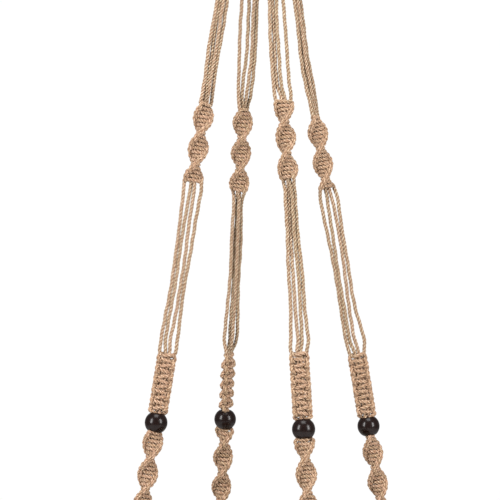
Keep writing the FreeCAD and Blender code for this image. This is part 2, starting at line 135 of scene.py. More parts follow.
# %% Arithmetic on sockets
class Value:
    """A shader socket that takes part in Python arithmetic."""

    def __init__(self, graph, socket):
        self.graph = graph
        self.socket = socket

    def math(self, operation, *others, swap=False):
        """One Math node: this value and the others, or the others first when swapped."""
        operands = [*others, self] if swap else [self, *others]
        return self.graph.node("ShaderNodeMath", {"operation": operation}, dict(enumerate(operands)))

    def __add__(self, other):
        return self.math("ADD", other)

    def __sub__(self, other):
        return self.math("SUBTRACT", other)

    def __rsub__(self, other):
        return self.math("SUBTRACT", other, swap=True)

    def __mul__(self, other):
        return self.math("MULTIPLY", other)

    def __pow__(self, other):
        return self.math("POWER", other)

    __radd__ = __add__
    __rmul__ = __mul__

    def clamped(self):
        """The value held between 0 and 1."""
        return self.math("MINIMUM", 1.0).math("MAXIMUM", 0.0)


print("sums of sockets make Math nodes")


# %% Node trees and finishes
class Graph:
    """A node tree whose nodes are added one call at a time.  `shader` is its last node."""

    def __init__(self, tree, shader):
        self.tree = tree
        self.shader = tree.nodes[shader]

    def node(self, kind, settings=None, sockets=None, output=0):
        """Adds a node, sets it up, fills or links its sockets, and returns one output."""
        made = self.tree.nodes.new(kind)
        for name, value in (settings or {}).items():
            if name == "stops":
                self.set_stops(made.color_ramp, value)
            else:
                setattr(made, name, value)
        for key, value in (sockets or {}).items():
            if isinstance(value, Value):
                self.tree.links.new(value.socket, made.inputs[key])
            else:
                made.inputs[key].default_value = value
        return Value(self, made.outputs[output])

    @staticmethod
    def set_stops(ramp, stops):
        """Gives a colour ramp its (place, colour) stops."""
        while len(ramp.elements) < len(stops):
            ramp.elements.new(0.5)
        for element, (place, colour) in zip(ramp.elements, stops):
            element.position = place
            element.color = (*colour, 1.0)

    def mix(self, factor, first, second):
        """A colour between two colours."""
        return self.node("ShaderNodeMix", {"data_type": "RGBA"}, {0: factor, 6: first, 7: second}, 2)

    def tinted(self, factor, colour, tint):
        """A colour multiplied by a tint, given as screen numbers."""
        settings = {"data_type": "RGBA", "blend_type": "MULTIPLY"}
        return self.node("ShaderNodeMix", settings, {0: factor, 6: colour, 7: (*srgb(*tint), 1.0)}, 2)

    def attribute(self, name):
        """A number stored on the mesh's points or corners."""
        return self.node("ShaderNodeAttribute", {"attribute_name": name}, {}, "Fac")

    def noise(self, place, scale, detail=2.0, roughness=0.5):
        """Seedless noise at a place, from 0 to 1."""
        sockets = {"Vector": place, "Scale": scale, "Detail": detail, "Roughness": roughness}
        return self.node("ShaderNodeTexNoise", {}, sockets)

    def scaled(self, place, scale):
        """A place stretched by three factors."""
        return self.node("ShaderNodeVectorMath", {"operation": "MULTIPLY"}, {0: place, 1: scale})

    def drives(self, socket, value):
        """Links a value to one of the shader's own sockets."""
        self.tree.links.new(value.socket, self.shader.inputs[socket])

    def bump(self, height, strength, distance):
        """Turns a height into the shader's normal."""
        sockets = {"Height": height, "Strength": strength, "Distance": distance}
        self.drives("Normal", self.node("ShaderNodeBump", {}, sockets))


class Finish(Graph):
    """A new material, with what is the same all over it set on the shader's own sockets."""

    def __init__(self, name, **fixed):
        self.material = bpy.data.materials.new(name)
        self.material.use_nodes = True
        super().__init__(self.material.node_tree, "Principled BSDF")
        for socket, value in fixed.items():
            self.shader.inputs[socket.replace("_", " ")].default_value = value


# %% Colours
def srgb(red, green, blue):
    """A colour given as 0 to 255 screen numbers, as the linear light that shaders use."""
    screen = np.array([red, green, blue]) / 255.0
    linear = np.where(screen <= 0.04045, screen / 12.92, ((screen + 0.055) / 1.055) ** 2.4)
    return tuple(float(value) for value in linear)


print("a screen grey of 128 is", round(srgb(128, 128, 128)[0], 3), "of full light")


# %% [markdown]
# ## Jute
#
# Jute is a coarse, dry bast fibre.  Close up, a strand is three plies, each a bundle of pale
# and brown fibres that run along it.  The notches where the plies meet are darkened in the
# colour as painted shade.  The mesh carries a painted-shade weight, which is 1 between plies,
# `tone`, which differs from strand to strand, and `knotted`, which is 1 where the cord is
# pulled tight in a knot and looks warmer.

# %% The jute material
def make_jute():
    """Fibre streaks along the strand, painted shade in the notches between plies, and a warmer tone in the
    knots.
    """
    jute = Finish("jute_cord", Roughness=0.9, Sheen_Weight=0.08, Sheen_Roughness=0.6)
    along = jute.node("ShaderNodeUVMap", {"uv_map": "cord"}, {})
    streaks = jute.noise(jute.scaled(along, (0.8, 2.8, 1.0)), 6.0, 5.0, 0.72)
    fine = jute.noise(jute.scaled(along, (2.2, 13.0, 1.0)), 7.0, 3.0, 0.6)
    patches = jute.noise(jute.scaled(along, (0.6, 0.9, 1.0)), 1.1, 2.0)
    fibres = jute.node("ShaderNodeValToRGB", {"stops": [
        (0.38, srgb(82, 53, 34)), (0.45, srgb(146, 113, 84)), (0.51, srgb(190, 165, 138)),
        (0.59, srgb(243, 227, 208))]}, {"Fac": streaks * 0.72 + fine * 0.28})
    shade = (jute.attribute("tone") * 0.7 + patches * 0.9 - 0.3).clamped()
    pinkish = jute.tinted(1.0, fibres, (241, 240, 237))
    olive = jute.tinted(1.0, fibres, (221, 228, 215))
    knotted, groove = jute.attribute("knotted"), jute.attribute("groove")
    warm = jute.tinted(knotted, jute.mix(shade, pinkish, olive), (252, 236, 231))
    # Painted shade: the notches between plies are darkened towards a dark brown, a third less inside knots.
    lines = groove * (1.0 - knotted * 0.34)
    coloured = jute.mix(lines, warm, (*srgb(108, 68, 42), 1.0))
    jute.drives("Base Color", coloured)
    jute.bump(streaks * 0.6 + fine * 0.6, 0.6, 0.3 * MM)
    return jute.material


JUTE = make_jute()
print("made", JUTE.name)

# %% [markdown]
# ## Steel, wood and glaze
#
# The ring is nickel plated wire.  The beads are turned wood, stained nearly black and
# lacquered, so the grain only shows as faint reddish lines under a gloss.  The pot has a
# thick pale stone glaze that pools a little and shows fine specks.

# %% Materials of the ring, the beads and the pot
def make_steel():
    """Plated wire: a little uneven in its shine, with fine drawing lines."""
    steel = Finish("plated_steel", Metallic=1.0)
    place = steel.node("ShaderNodeTexCoord", {}, {}, "Object")
    dull = steel.noise(place, 220.0, 4.0)
    steel.drives("Base Color", steel.mix(dull, (*srgb(206, 204, 200), 1.0), (*srgb(176, 174, 172), 1.0)))
    steel.drives("Roughness", dull * 0.16 + 0.2)
    steel.bump(steel.noise(place, 900.0, 2.0), 0.08, 0.05 * MM)
    return steel.material


def make_dark_wood():
    """Stained wood: grain along the bead's own axis, held in its `grain` map, under lacquer."""
    wood = Finish("dark_wood", Coat_Weight=0.4, Coat_Roughness=0.21, Coat_IOR=1.5, Specular_IOR_Level=0.04)
    place = wood.node("ShaderNodeUVMap", {"uv_map": "grain"}, {})
    grain = wood.noise(wood.scaled(place, (60.0, 5.0, 1.0)), 3.0, 5.0, 0.6)
    colour = wood.node("ShaderNodeValToRGB", {"stops": [
        (0.3, srgb(6, 3, 2)), (0.55, srgb(18, 6, 4)), (0.75, srgb(56, 24, 16))]}, {"Fac": grain})
    wood.drives("Base Color", colour)
    wood.drives("Roughness", grain * 0.2 + 0.3)
    wood.bump(grain, 0.12, 0.15 * MM)
    return wood.material


def make_glaze():
    """Pale stone glaze: slightly uneven, with a few fine specks."""
    glaze = Finish("stone_glaze", IOR=1.52, Coat_Weight=0.5, Coat_Roughness=0.08)
    place = glaze.node("ShaderNodeTexCoord", {}, {}, "Object")
    cloud = glaze.noise(place, 14.0, 3.0)
    specks = glaze.node("ShaderNodeTexVoronoi", {"feature": "F1"}, {"Vector": place, "Scale": 260.0})
    spot = (1.0 - specks * 9.0).clamped() * (glaze.noise(place, 60.0) - 0.52).math("GREATER_THAN", 0.0)
    pale = glaze.mix(cloud, (*srgb(206, 201, 190), 1.0), (*srgb(192, 186, 173), 1.0))
    glaze.drives("Base Color", glaze.mix(spot * 0.75, pale, (*srgb(122, 102, 82), 1.0)))
    glaze.drives("Roughness", cloud * 0.15 + 0.16)
    glaze.bump(glaze.noise(place, 42.0, 2.0), 0.06, 0.5 * MM)
    return glaze.material


STEEL, DARK_WOOD, GLAZE = make_steel(), make_dark_wood(), make_glaze()
print("made", STEEL.name, DARK_WOOD.name, GLAZE.name)

# %% [markdown]
# ## Paths
#
# A taut strand is one smooth line.  Blender's NURBS curve gives that line from a few chosen
# points, and the tessellated curve is read back as an array.  Two helpers then space the
# points evenly, and carry a frame along the line without any twist of its own.

# %% Lines through chosen points
def spline(points, order=3):
    """The smooth line of a NURBS curve with these control points, as an array of places."""
    data = bpy.data.curves.new("route", "CURVE")
    data.dimensions = "3D"
    data.resolution_u = 12
    line = data.splines.new("NURBS")
    line.points.add(len(points) - 1)
    line.points.foreach_set("co", np.c_[np.array(points, float), np.ones(len(points))].ravel())
    line.order_u = order
    line.use_endpoint_u = True
    holder = bpy.data.objects.new("route", data)
    mesh = bpy.data.meshes.new_from_object(holder)
    places = np.empty(len(mesh.vertices) * 3)
    mesh.vertices.foreach_get("co", places)
    bpy.data.objects.remove(holder)
    bpy.data.meshes.remove(mesh)
    bpy.data.curves.remove(data)
    return places.reshape(-1, 3)


bow = spline([(0.0, 0.0, 0.0), (1.0, 1.0, 0.0), (2.0, 0.0, 0.0)])
print("a bow through three points has", len(bow), "points and rises", round(float(bow[:, 1].max()), 2))


# %% Distances and frames along a line
def lengths(path):
    """Distance along a path at each of its points."""
    return np.r_[0.0, np.cumsum(np.linalg.norm(np.diff(path, axis=0), axis=1))]


def evenly(path, step):
    """The same path with its points about `step` apart, by interpolation on its length."""
    run = lengths(path)
    wanted = np.linspace(0.0, run[-1], max(4, int(round(run[-1] / step)) + 1))
    return np.stack([np.interp(wanted, run, path[:, axis]) for axis in range(3)], axis=1)


def frames(path):
    """Unit tangents, and two unit normals that turn no more than the path itself.

    Each point first takes the normal nearest to one fixed direction.  Carrying it to the next
    point by the smallest turn gives the angle by which that choice twists, and the running
    sum of those angles is taken off."""
    tangent = np.gradient(path, axis=0)
    tangent /= np.linalg.norm(tangent, axis=1, keepdims=True)
    fixed = np.array([0.36, 0.80, 0.48])
    normal = fixed - (tangent @ fixed)[:, None] * tangent
    normal /= np.linalg.norm(normal, axis=1, keepdims=True)
    first, second = tangent[:-1], tangent[1:]
    lean = np.sum(second * normal[:-1], axis=1) / (1.0 + np.sum(first * second, axis=1))
    carried = normal[:-1] - lean[:, None] * (first + second)
    across = np.sum(np.cross(carried, normal[1:]) * second, axis=1)
    twist = np.r_[0.0, np.cumsum(np.arctan2(across, np.sum(carried * normal[1:], axis=1)))]
    side = np.cross(tangent, normal)
    cosine, sine = np.cos(twist)[:, None], np.sin(twist)[:, None]
    return tangent, normal * cosine - side * sine, side * cosine + normal * sine


print("the bow is", round(float(lengths(bow)[-1]), 2), "long")


# %% [markdown]
# ## A three-ply cord
#
# The section of the cord has three round lobes, one for each ply.  It turns once in every
# lay length, so the lobes become plies and the notches between them become grooves.  A grid
# of rings and section points is enough: rings come from the path, section points from a
# formula, and both are whole arrays.

# %% The section and surface of a cord
LAY = 10.5 * MM                # length in which a strand turns once
RING_STEP = 0.95 * MM          # distance between the rings of a strand
CROWN = 1.85 * MM              # from a strand's middle to the crown of a ply: it is soft and swells
PLIES = 3
SECTION = 12                   # section points, four to a ply


def ply_section():
    """Radius and painted-shade weight at each section point.

    The radius is 1 on a crown, 0.92 on a flank and 0.62 in the notch between plies; the
    painted-shade weight, which darkens the colour as shade, is 1 in the notch."""
    within = np.arange(SECTION) % (SECTION // PLIES)
    radius = np.choose(within, [0.62, 0.92, 1.0, 0.92])
    groove = np.choose(within, [1.0, 0.36, 0.0, 0.36])
    return radius, groove


def cord_grid(path, radius, phase):
    """Grid of cord surface points, rings by section points: path + radius * (turned section)."""
    _tangent, normal, side = frames(path)
    turn = lengths(path) / LAY * 2 * np.pi + phase
    share, groove = ply_section()
    angle = turn[:, None] + np.arange(SECTION) / SECTION * 2 * np.pi
    reach = radius * share[None, :, None]
    grid = path[:, None] + reach * (np.cos(angle)[..., None] * normal[:, None]
                                    + np.sin(angle)[..., None] * side[:, None])
    return grid, groove


def grid_faces(rings, count, start):
    """Quads between neighbouring rings of a closed section, numbered from `start`."""
    ring = np.arange(rings - 1)[:, None]
    point = np.arange(count)[None, :]
    after = (point + 1) % count
    corners = [ring * count + point, ring * count + after, (ring + 1) * count + after,
               (ring + 1) * count + point]
    return start + np.stack(np.broadcast_arrays(*corners), axis=-1).reshape(-1, 4)


print("a cord has", SECTION, "faces round it and", round(LAY / RING_STEP), "in a lay")


# %% From strands to pieces
def lay_strand(path, radius, phase, tone, knotted, seed):
    """A strand ready to be cut into pieces: its surface grid, and what the material reads."""
    grid, groove = cord_grid(path, radius, phase)
    return {"grid": grid, "groove": groove, "run": lengths(path), "tone": tone, "seed": seed,
            "knotted": np.broadcast_to(knotted, len(path))}


def cord_uv(run, seed):
    """UV corners of a strand's quads: hundredths of a metre along it, and its section's share round."""
    u = np.stack([run[:-1], run[:-1], run[1:], run[1:]], axis=-1)[:, None] * 100.0 + seed * 0.37
    share = np.arange(SECTION) / SECTION
    v = np.stack([share, share + 1 / SECTION, share + 1 / SECTION, share], axis=-1)[None] + seed * 1.1
    return np.stack(np.broadcast_arrays(u, v), axis=-1).reshape(-1)


def make_cords(name, cuts):
    """One mesh of several cuts, each (strand, first ring, last ring), with closed ends."""
    points, quads, caps, corners = [], [], [], []
    values = {"groove": [], "tone": [], "knotted": []}
    start = 0
    for strand, first, last in cuts:
        rings = last - first + 1
        points.append(strand["grid"][first:last + 1].reshape(-1, 3))
        quads.append(grid_faces(rings, SECTION, start))
        caps += [start + np.arange(SECTION)[::-1], start + (rings - 1) * SECTION + np.arange(SECTION)]
        corners.append(cord_uv(strand["run"][first:last + 1], strand["seed"]))
        values["groove"].append(np.tile(strand["groove"], rings))
        values["tone"].append(np.full(rings * SECTION, strand["tone"]))
        values["knotted"].append(np.repeat(strand["knotted"][first:last + 1], SECTION))
        start += rings * SECTION
    mesh = bpy.data.meshes.new(name)
    faces = np.concatenate(quads).tolist() + [cap.tolist() for cap in caps]
    mesh.from_pydata(np.concatenate(points), [], faces)
    uv = np.zeros(len(mesh.loops) * 2)
    uv[:sum(map(len, corners))] = np.concatenate(corners)
    mesh.uv_layers.new(name="cord").data.foreach_set("uv", uv)
    for key, arrays in values.items():
        mesh.attributes.new(key, "FLOAT", "POINT").data.foreach_set("value", np.concatenate(arrays))
    return add_piece(mesh, JUTE)


def add_piece(mesh, material):
    """A smooth-shaded object for a finished mesh, at the origin."""
    mesh.shade_smooth()
    mesh.materials.append(material)
    made = bpy.data.objects.new(mesh.name, mesh)
    bpy.context.scene.collection.objects.link(made)
    return made


def ends_flat(mesh, count):
    """Marks the last `count` faces flat, so that a cord's cut end stays crisp."""
    smooth = np.ones(len(mesh.polygons), bool)
    smooth[len(smooth) - count:] = False
    mesh.polygons.foreach_set("use_smooth", smooth)


print("a strand is laid once, and then cut into the pieces of its nodes")


# %% [markdown]
# ## How a half knot lies
#
# In a half knot, one worker crosses in front of the two fillers and tucks behind the other
# worker, which crosses behind the fillers and comes out in front of the first.  Tied always
# the same way, half knots make a spiral; tied left and right in turn, they make a flat
# square sinnet.  A rough path with the right overs and unders is easy to write down, but its
# cords run into each other.  So the path is relaxed: a pull shortens it, and cords that are
# closer than their thickness push each other away.  By symmetry one half knot is enough: the
# others are copies of it, turned or mirrored and moved down.

# %% Rough paths of one half knot
# Places are (wide, thick, down) in millimetres, from the left of a half knot, across the
# front, behind the other worker at the right, and round its next tuck.
ROUGH_START = [(-5.0, 1.8, 1.5), (-2.8, 3.2, 1.1), (0.0, 3.5, 0.6), (2.8, 3.1, 0.1), (4.9, 1.4, -0.2),
               (6.6, -0.3, 0.3)]
ROUGH_END = {"spiral": [(7.6, 0.6, 1.8), (7.2, 2.6, 3.2), (6.2, 2.0, 4.8), (5.0, -1.8, 5.05)],
             "square": [(7.6, -1.2, 1.8), (7.1, -2.6, 3.8), (6.2, -1.6, 5.9), (5.0, 1.8, 6.25)]}
UNIT_POINTS = 34


print(len(ROUGH_START), "rough points across the front, and", len(ROUGH_END["spiral"]), "round the tuck")


# %% Copies of a half knot
def turned(path, angle):
    """A path turned about the sinnet's middle line."""
    cosine, sine = math.cos(angle), math.sin(angle)
    return np.stack([path[:, 0] * cosine - path[:, 1] * sine, path[:, 0] * sine + path[:, 1] * cosine,
                     path[:, 2]], axis=1)


def copy_of(unit, kind, number, worker, length, step):
    """The path of one worker in half knot `number`, from the path of half knot 0.

    In a spiral each next half knot is the last one turned by half a turn and a step.  In a
    square sinnet it is the mirror image.  The second worker is half a turn from the first."""
    if kind == "spiral":
        made = turned(unit, number * step + number * math.pi)
    else:
        made = unit * [(-1.0) ** number, 1.0, 1.0]
    return turned(made, worker * math.pi) + [0.0, 0.0, number * length]


print("neighbouring half knots are copies of one")


# %% Relaxing a half knot
def relax(kind, length, step, thickness, filler_place, rounds=320):
    """Relaxes the rough path of one half knot until its cords lie against each other.

    Each round moves a point towards the mean of its two neighbours along the cord, then away
    from every point of another copy, or of a filler, that is nearer than the thickness."""
    unit = evenly(spline(ROUGH_START + ROUGH_END[kind], 3), 1.0)
    unit = even_count(unit)
    numbers = [(number, worker) for number in range(-3, 4) for worker in (0, 1)]
    before, after = numbers.index((-1, 0)), numbers.index((1, 0))
    itself = numbers.index((0, 0))
    index = np.arange(UNIT_POINTS)
    for round_number in range(rounds):
        copies = np.stack([copy_of(unit, kind, n, w, length, step) for n, w in numbers])
        chain = np.vstack([copies[before][-3:-1], unit, copies[after][1:3]])
        middle = (chain[1:-3] + chain[3:-1]) / 2
        moved = unit + 0.2 * (middle - unit)
        away = moved[:, None, None] - copies[None]
        distance = np.linalg.norm(away, axis=3) + 1e-9
        spacing = lengths(unit)[-1] / (UNIT_POINTS - 1)
        free = np.ones(distance.shape, bool)
        free[:, itself] = False
        free[:, before] = (index[:, None] + UNIT_POINTS - 1 - index[None]) * spacing > 1.6 * thickness
        free[:, after] = (UNIT_POINTS - 1 - index[:, None] + index[None]) * spacing > 1.6 * thickness
        overlap = np.where(free, np.maximum(0.0, thickness - distance), 0.0)
        push = np.sum(away * (overlap / distance)[..., None], axis=(1, 2))
        moved += 0.5 * push / np.sqrt(np.maximum(1, (overlap > 0).sum(axis=(1, 2))))[:, None]
        for side in (-filler_place, filler_place):
            angle = moved[:, 2] / length * step
            filler = side * np.stack([np.cos(angle), np.sin(angle)], axis=1)
            gap = moved[:, :2] - filler
            near = np.linalg.norm(gap, axis=1, keepdims=True) + 1e-9
            moved[:, :2] += 0.8 * gap / near * np.maximum(0.0, thickness - near)
        unit = join_ends(moved, kind, length, step)
        if round_number % 10 == 9:
            unit = even_count(unit)
    return unit


def join_ends(unit, kind, length, step):
    """Moves the first and last points of a half knot so that copies of it join up."""
    target = copy_of(unit[:1], kind, 1, 0, length, step)[0]
    meeting = (target + unit[-1]) / 2
    unit[-1] = meeting
    back = copy_of(meeting[None] - [0.0, 0.0, length], kind, -1, 0, 0.0, step)[0]
    unit[0] = back
    return unit


def even_count(path):
    """A path with its fixed number of points evenly spaced."""
    run = lengths(path)
    wanted = np.linspace(0.0, run[-1], UNIT_POINTS)
    return np.stack([np.interp(wanted, run, path[:, axis]) for axis in range(3)], axis=1)


print("a half knot is relaxed with", UNIT_POINTS, "points")

# %% The two half knots
# Turn of a half knot from the last one, and in millimetres the cords' thickness where they are
# squeezed and how far from the middle each filler lies.
STEP = {"spiral": -math.radians(SPIRAL_STEP), "square": 0.0}
HALF_KNOTS = {"spiral": relax("spiral", HALF_KNOT_LENGTH["spiral"], STEP["spiral"], 2.45, 1.45),
              "square": relax("square", HALF_KNOT_LENGTH["square"], STEP["square"], 2.75, 1.5)}
for knot_kind, knot_unit in HALF_KNOTS.items():
    print(knot_kind, "half knot takes", round(lengths(knot_unit)[-1], 1), "mm of each worker,",
          "reaches", np.round(np.abs(knot_unit).max(axis=0), 1))

# %% [markdown]
# ## The line of a leg
#
# Every strand of a leg is placed by its distance down the leg and by two offsets from the
# leg's middle line.  `wide` and `thin` offsets turn with a facing, as a sinnet's flat side
# does.  The wall of the pot has the same kind of line for each cradle knot.

# %% Lines and stages
class Line:
    """A straight middle line with its three directions; `at` gives places beside it."""

    def __init__(self, azimuth, start, slope, out):
        angle, lean = math.radians(azimuth), math.atan(slope)
        self.azimuth = angle
        self.level = np.array([math.cos(angle), math.sin(angle), 0.0])
        self.sideways = np.array([-math.sin(angle), math.cos(angle), 0.0])
        up = np.array([0.0, 0.0, 1.0])
        self.along = out * self.level * math.sin(lean) - up * math.cos(lean)
        self.outward = self.level * math.cos(lean) + out * up * math.sin(lean)
        self.start = np.array(start)

    def wide(self, facing):
        """The direction of a sinnet's wide side."""
        return self.sideways * math.cos(math.radians(facing)) + self.outward * math.sin(math.radians(facing))

    def thin(self, facing):
        """The direction of a sinnet's thickness."""
        return self.outward * math.cos(math.radians(facing)) - self.sideways * math.sin(math.radians(facing))

    def at(self, down, wide=0.0, thin=0.0, facing=0.0):
        """start + down * along + wide * (wide direction) + thin * (thin direction)."""
        return (self.start + np.multiply.outer(down, self.along)
                + np.multiply.outer(wide, self.wide(facing)) + np.multiply.outer(thin, self.thin(facing)))


def leg_line(azimuth):
    """The middle line of a leg, from its root under the top wrap."""
    angle = math.radians(azimuth)
    return Line(azimuth, [BLOCK * math.cos(angle), BLOCK * math.sin(angle), LEG_ROOT_Z], LEG_SLOPE, 1.0)


def leg_stations(name):
    """Sinnets of a leg as (start in metres, half knots, length in millimetres, facing)."""
    spiral, square, low = LEGS[name]["spiral"], LEGS[name]["square"], LEGS[name]["lower_spiral"]
    square_end = square[0] + square[1] * square[2]
    return {"spiral": (spiral[0] * MM, *spiral[1:]), "square": (square[0] * MM, *square[1:]),
            "lower_spiral": (square_end * MM + BEAD_ROOM, *low)}


# Offsets of the four strands, each (thin, wide), as a leg comes out of a wrap, turns, and
# lies in a row.
SQUARE_STAGE = [(0.0, -HALF_DIAGONAL), (-HALF_DIAGONAL, 0.0), (HALF_DIAGONAL, 0.0), (0.0, HALF_DIAGONAL)]
OUTER, INNER = 4.5 * MM, 1.4 * MM
TURNED_STAGE = [(0.0, -OUTER), (-INNER, -INNER), (INNER, INNER), (0.0, OUTER)]
ROW_OFFSETS = [-1.5 * ROW, -0.5 * ROW, 0.5 * ROW, 1.5 * ROW]
LEG_LINES = {name: leg_line(leg["azimuth"]) for name, leg in LEGS.items()}
print("legs lean", round(math.degrees(math.atan(LEG_SLOPE)), 2), "degrees")

# %% [markdown]
# ## A sinnet
#
# A sinnet is a chain of half knots.  The two workers follow the relaxed path from half knot
# to half knot, and the two fillers run down the middle.  The strands are numbered from 0 to
# 3 across the wide side at the top: 0 and 3 are the workers.

# %% The four strands of a sinnet
FILLER_PLACE = 1.5             # millimetres from the sinnet's middle line


def chain(kind, worker, half_knots, length):
    """One worker through all half knots of a sinnet, in millimetres from the sinnet's top."""
    unit = HALF_KNOTS[kind] * [1.0, 1.0, length / HALF_KNOT_LENGTH[kind]]
    return np.concatenate([copy_of(unit, kind, number, worker, length, STEP[kind])[:-1]
                           for number in range(half_knots)])


def filler(kind, side, half_knots, length):
    """One filler: straight in a square sinnet, and turning with the knots in a spiral."""
    down = np.linspace(0.0, half_knots * length, half_knots * 3)
    angle = down / length * STEP[kind]
    return np.stack([side * FILLER_PLACE * np.cos(angle), side * FILLER_PLACE * np.sin(angle), down], axis=1)


def sinnet(line, kind, start, half_knots, length, facing):
    """World paths of a sinnet's four strands.  The spiral is mirrored, because it turns the other way."""
    local = [chain(kind, 0, half_knots, length), filler(kind, -1, half_knots, length),
             filler(kind, 1, half_knots, length), chain(kind, 1, half_knots, length)]
    if kind == "spiral":
        local = [path * [-1.0, 1.0, 1.0] for path in reversed(local)]
    return [line.at(start + path[:, 2] * MM, path[:, 0] * MM, path[:, 1] * MM, facing) for path in local]


def across_order(paths, direction):
    """The strands' numbers in order of their last points along a direction."""
    return [int(number) for number in np.argsort([float(path[-1] @ direction) for path in paths])]


def end_facing(facing, half_knots):
    """The way a spiral's wide side faces where it ends, within 90 degrees of square across."""
    return (facing + half_knots * SPIRAL_STEP + 90.0) % 180.0 - 90.0


spiral_worker = chain("spiral", 0, 20, HALF_KNOT_LENGTH["spiral"])
print("a spiral of 20 takes", round(lengths(spiral_worker)[-1]), "mm of each worker")

# %% [markdown]
# ## The open stretches
#
# Between the wrap and the sinnets the strands are nearly straight, but they are never drawn
# with a ruler: each has its own slight bow.  The route of each one is a NURBS curve with a
# few chosen points.  A strand that is about to tie or has just tied a knot leaves it at the
# knot's edge.

# %% Stages of the open strands
# Each leg's open stretches are described square to one facing, which looks across the leg.
ACROSS = {"front_left": -70.0, "front_right": 20.0, "back_left": 200.0, "back_right": 110.0}
# How far the upper spiral hangs to one side of the leg's straight line, in mm.
SIDE_HANG = {"front_left": -2.4, "front_right": 0.2, "back_left": 0.2, "back_right": -3.2}
FLAT, SOFT, DEEP = (0.0, 0.0, 0.0, 0.0), (0.6, -0.7, 0.7, -0.6), (1.5, -1.4, 1.7, -1.3)
# Stages: millimetres down the leg, then the four strands' wide and thin offsets in mm.
OPEN_ABOVE = {
    "front_left": [(90, (-5.6, -2.5, 0.6, 3.7), SOFT), (186, (-7.5, -4.4, -1.3, 1.7), SOFT),
                   (232, (-7.5, -4.4, -1.3, 1.8), SOFT), (268, (-6.8, -3.9, -1.0, 1.8), SOFT)],
    "front_right": [(90, (-4.7, -1.7, 1.2, 5.1), SOFT), (188, (-6.7, -3.6, -0.5, 5.6), SOFT),
                    (234, (-8.6, -5.4, -2.0, 5.6), SOFT), (266, (-8.0, -4.8, -1.2, 6.5), SOFT)],
    "back_left": [(90, (-5.0, -1.6, 1.8, 5.0), FLAT), (182, (-7.3, -0.8, 4.4, 7.2), SOFT),
                  (228, (-6.7, 1.0, 4.8, 7.8), SOFT), (252, (-6.0, -2.0, 3.7, 7.5), FLAT),
                  (270, (-5.5, -1.9, 2.8, 6.4), FLAT)],
    "back_right": [(90, (-4.2, -1.6, 0.4, 3.0), DEEP), (184, (-4.9, -2.8, -1.7, 0.2), DEEP),
                   (232, (-7.3, -4.7, -3.6, -1.5), DEEP), (262, (-7.6, -5.2, -3.0, -0.4), SOFT)],
}
OPEN_BELOW = {
    "front_left": [(360, (-8.9, -3.4, -0.2, 6.3), FLAT), (374, (-8.4, -3.6, 0.0, 6.2), FLAT),
                   (404, (-7.9, -4.6, 1.2, 5.7), FLAT), (444, (-5.7, -2.4, 1.7, 5.2), FLAT),
                   (470, (-7.6, -4.1, 2.3, 5.8), FLAT), (497, (-7.4, -3.8, -0.2, 6.8), FLAT)],
    "front_right": [(358, (-2.9, -0.1, 2.5, 4.8), DEEP), (374, (-3.8, -0.9, 2.1, 4.9), SOFT),
                    (406, (-3.7, -0.5, 2.6, 6.0), SOFT), (440, (-4.7, -1.2, 4.0, 7.1), FLAT),
                    (468, (-5.0, -0.8, 3.7, 7.8), FLAT), (495, (-5.9, 0.6, 3.9, 9.2), FLAT)],
    "back_left": [(366, (-3.4, -0.6, 0.9, 3.2), DEEP), (384, (-3.6, -0.7, 1.2, 3.8), DEEP),
                  (406, (-3.6, -0.3, 2.2, 4.8), DEEP), (440, (-3.0, 0.2, 2.5, 5.0), SOFT),
                  (472, (-3.8, 0.0, 2.6, 5.5), SOFT), (501, (-6.0, 0.2, 2.6, 7.0), DEEP)],
    "back_right": [(362, (-11.0, -3.7, -0.4, 4.7), FLAT), (378, (-10.2, -4.7, 1.1, 5.0), FLAT),
                   (406, (-8.6, -4.9, 1.4, 4.8), FLAT), (442, (-7.9, -5.0, 0.6, 4.3), FLAT),
                   (471, (-7.7, -4.8, -0.3, 5.2), FLAT), (498, (-8.3, -5.1, -0.8, 8.8), FLAT)],
}
# Which way the four strands tuck, front or back, as they enter a sinnet.
TUCKS = {"spiral": (-1, 0, 0, 1), "square": (1, 0, 0, -1)}
print(sum(map(len, OPEN_ABOVE.values())), "stages above and", sum(map(len, OPEN_BELOW.values())), "below")


# %% Routes of the open strands
def open_routes(name, firsts, stages, end, goal, kind, shift=0.0):
    """Four strands through the stages to the top of a sinnet, without needless crossings.

    `firsts` has the chosen points that each strand comes from.  Returns the strands' numbers
    in their order across, and the four routes in that order."""
    line, across = LEG_LINES[name], ACROSS[name]
    order = across_order([np.array(points) for points in firsts], line.wide(across))
    facing = across + (goal - across + 90.0) % 180.0 - 90.0
    beside = line.wide(across) * shift * MM
    routes = []
    for slot, number in enumerate(order):
        points = list(firsts[number])
        points += [line.at(down * MM, wides[slot] * MM, thins[slot] * MM, across)
                   for down, wides, thins in stages]
        tuck = TUCKS[kind][slot] * MM
        points += [line.at(end - 4 * MM, (-7.2, -1.8, 1.8, 7.2)[slot] * MM, 0.4 * tuck, facing) + beside,
                   line.at(end, (-6.2, -1.5, 1.5, 6.2)[slot] * MM, tuck, facing) + beside]
        routes.append(spline(points))
    return order, routes


def strands_in_wrap(line):
    """The chosen points of a leg's four strands inside the top wrap and just below it."""
    firsts = []
    for thin, wide in SQUARE_STAGE:
        upright = line.level * (BLOCK + thin) + line.sideways * wide
        heights = (top_wrap_high.z - 6 * MM, top_wrap_low.z, LEG_ROOT_Z)
        firsts.append([upright + [0.0, 0.0, z] for z in heights])
    return firsts


def hung_beside(name):
    """The leg's line, moved to where its upper spiral hangs."""
    moved = leg_line(LEGS[name]["azimuth"])
    moved.start = moved.start + moved.wide(ACROSS[name]) * SIDE_HANG[name] * MM
    return moved


print("upper spirals hang", SIDE_HANG, "mm beside their legs")

# %% [markdown]
# ## Through the bead
#
# All four strands pass through the bead's hole side by side, two by two.  Each worker leaves
# the last half knot of the square sinnet at the side and dives straight into the hole, and
# the first half knot of the lower spiral is tied close under the bead.

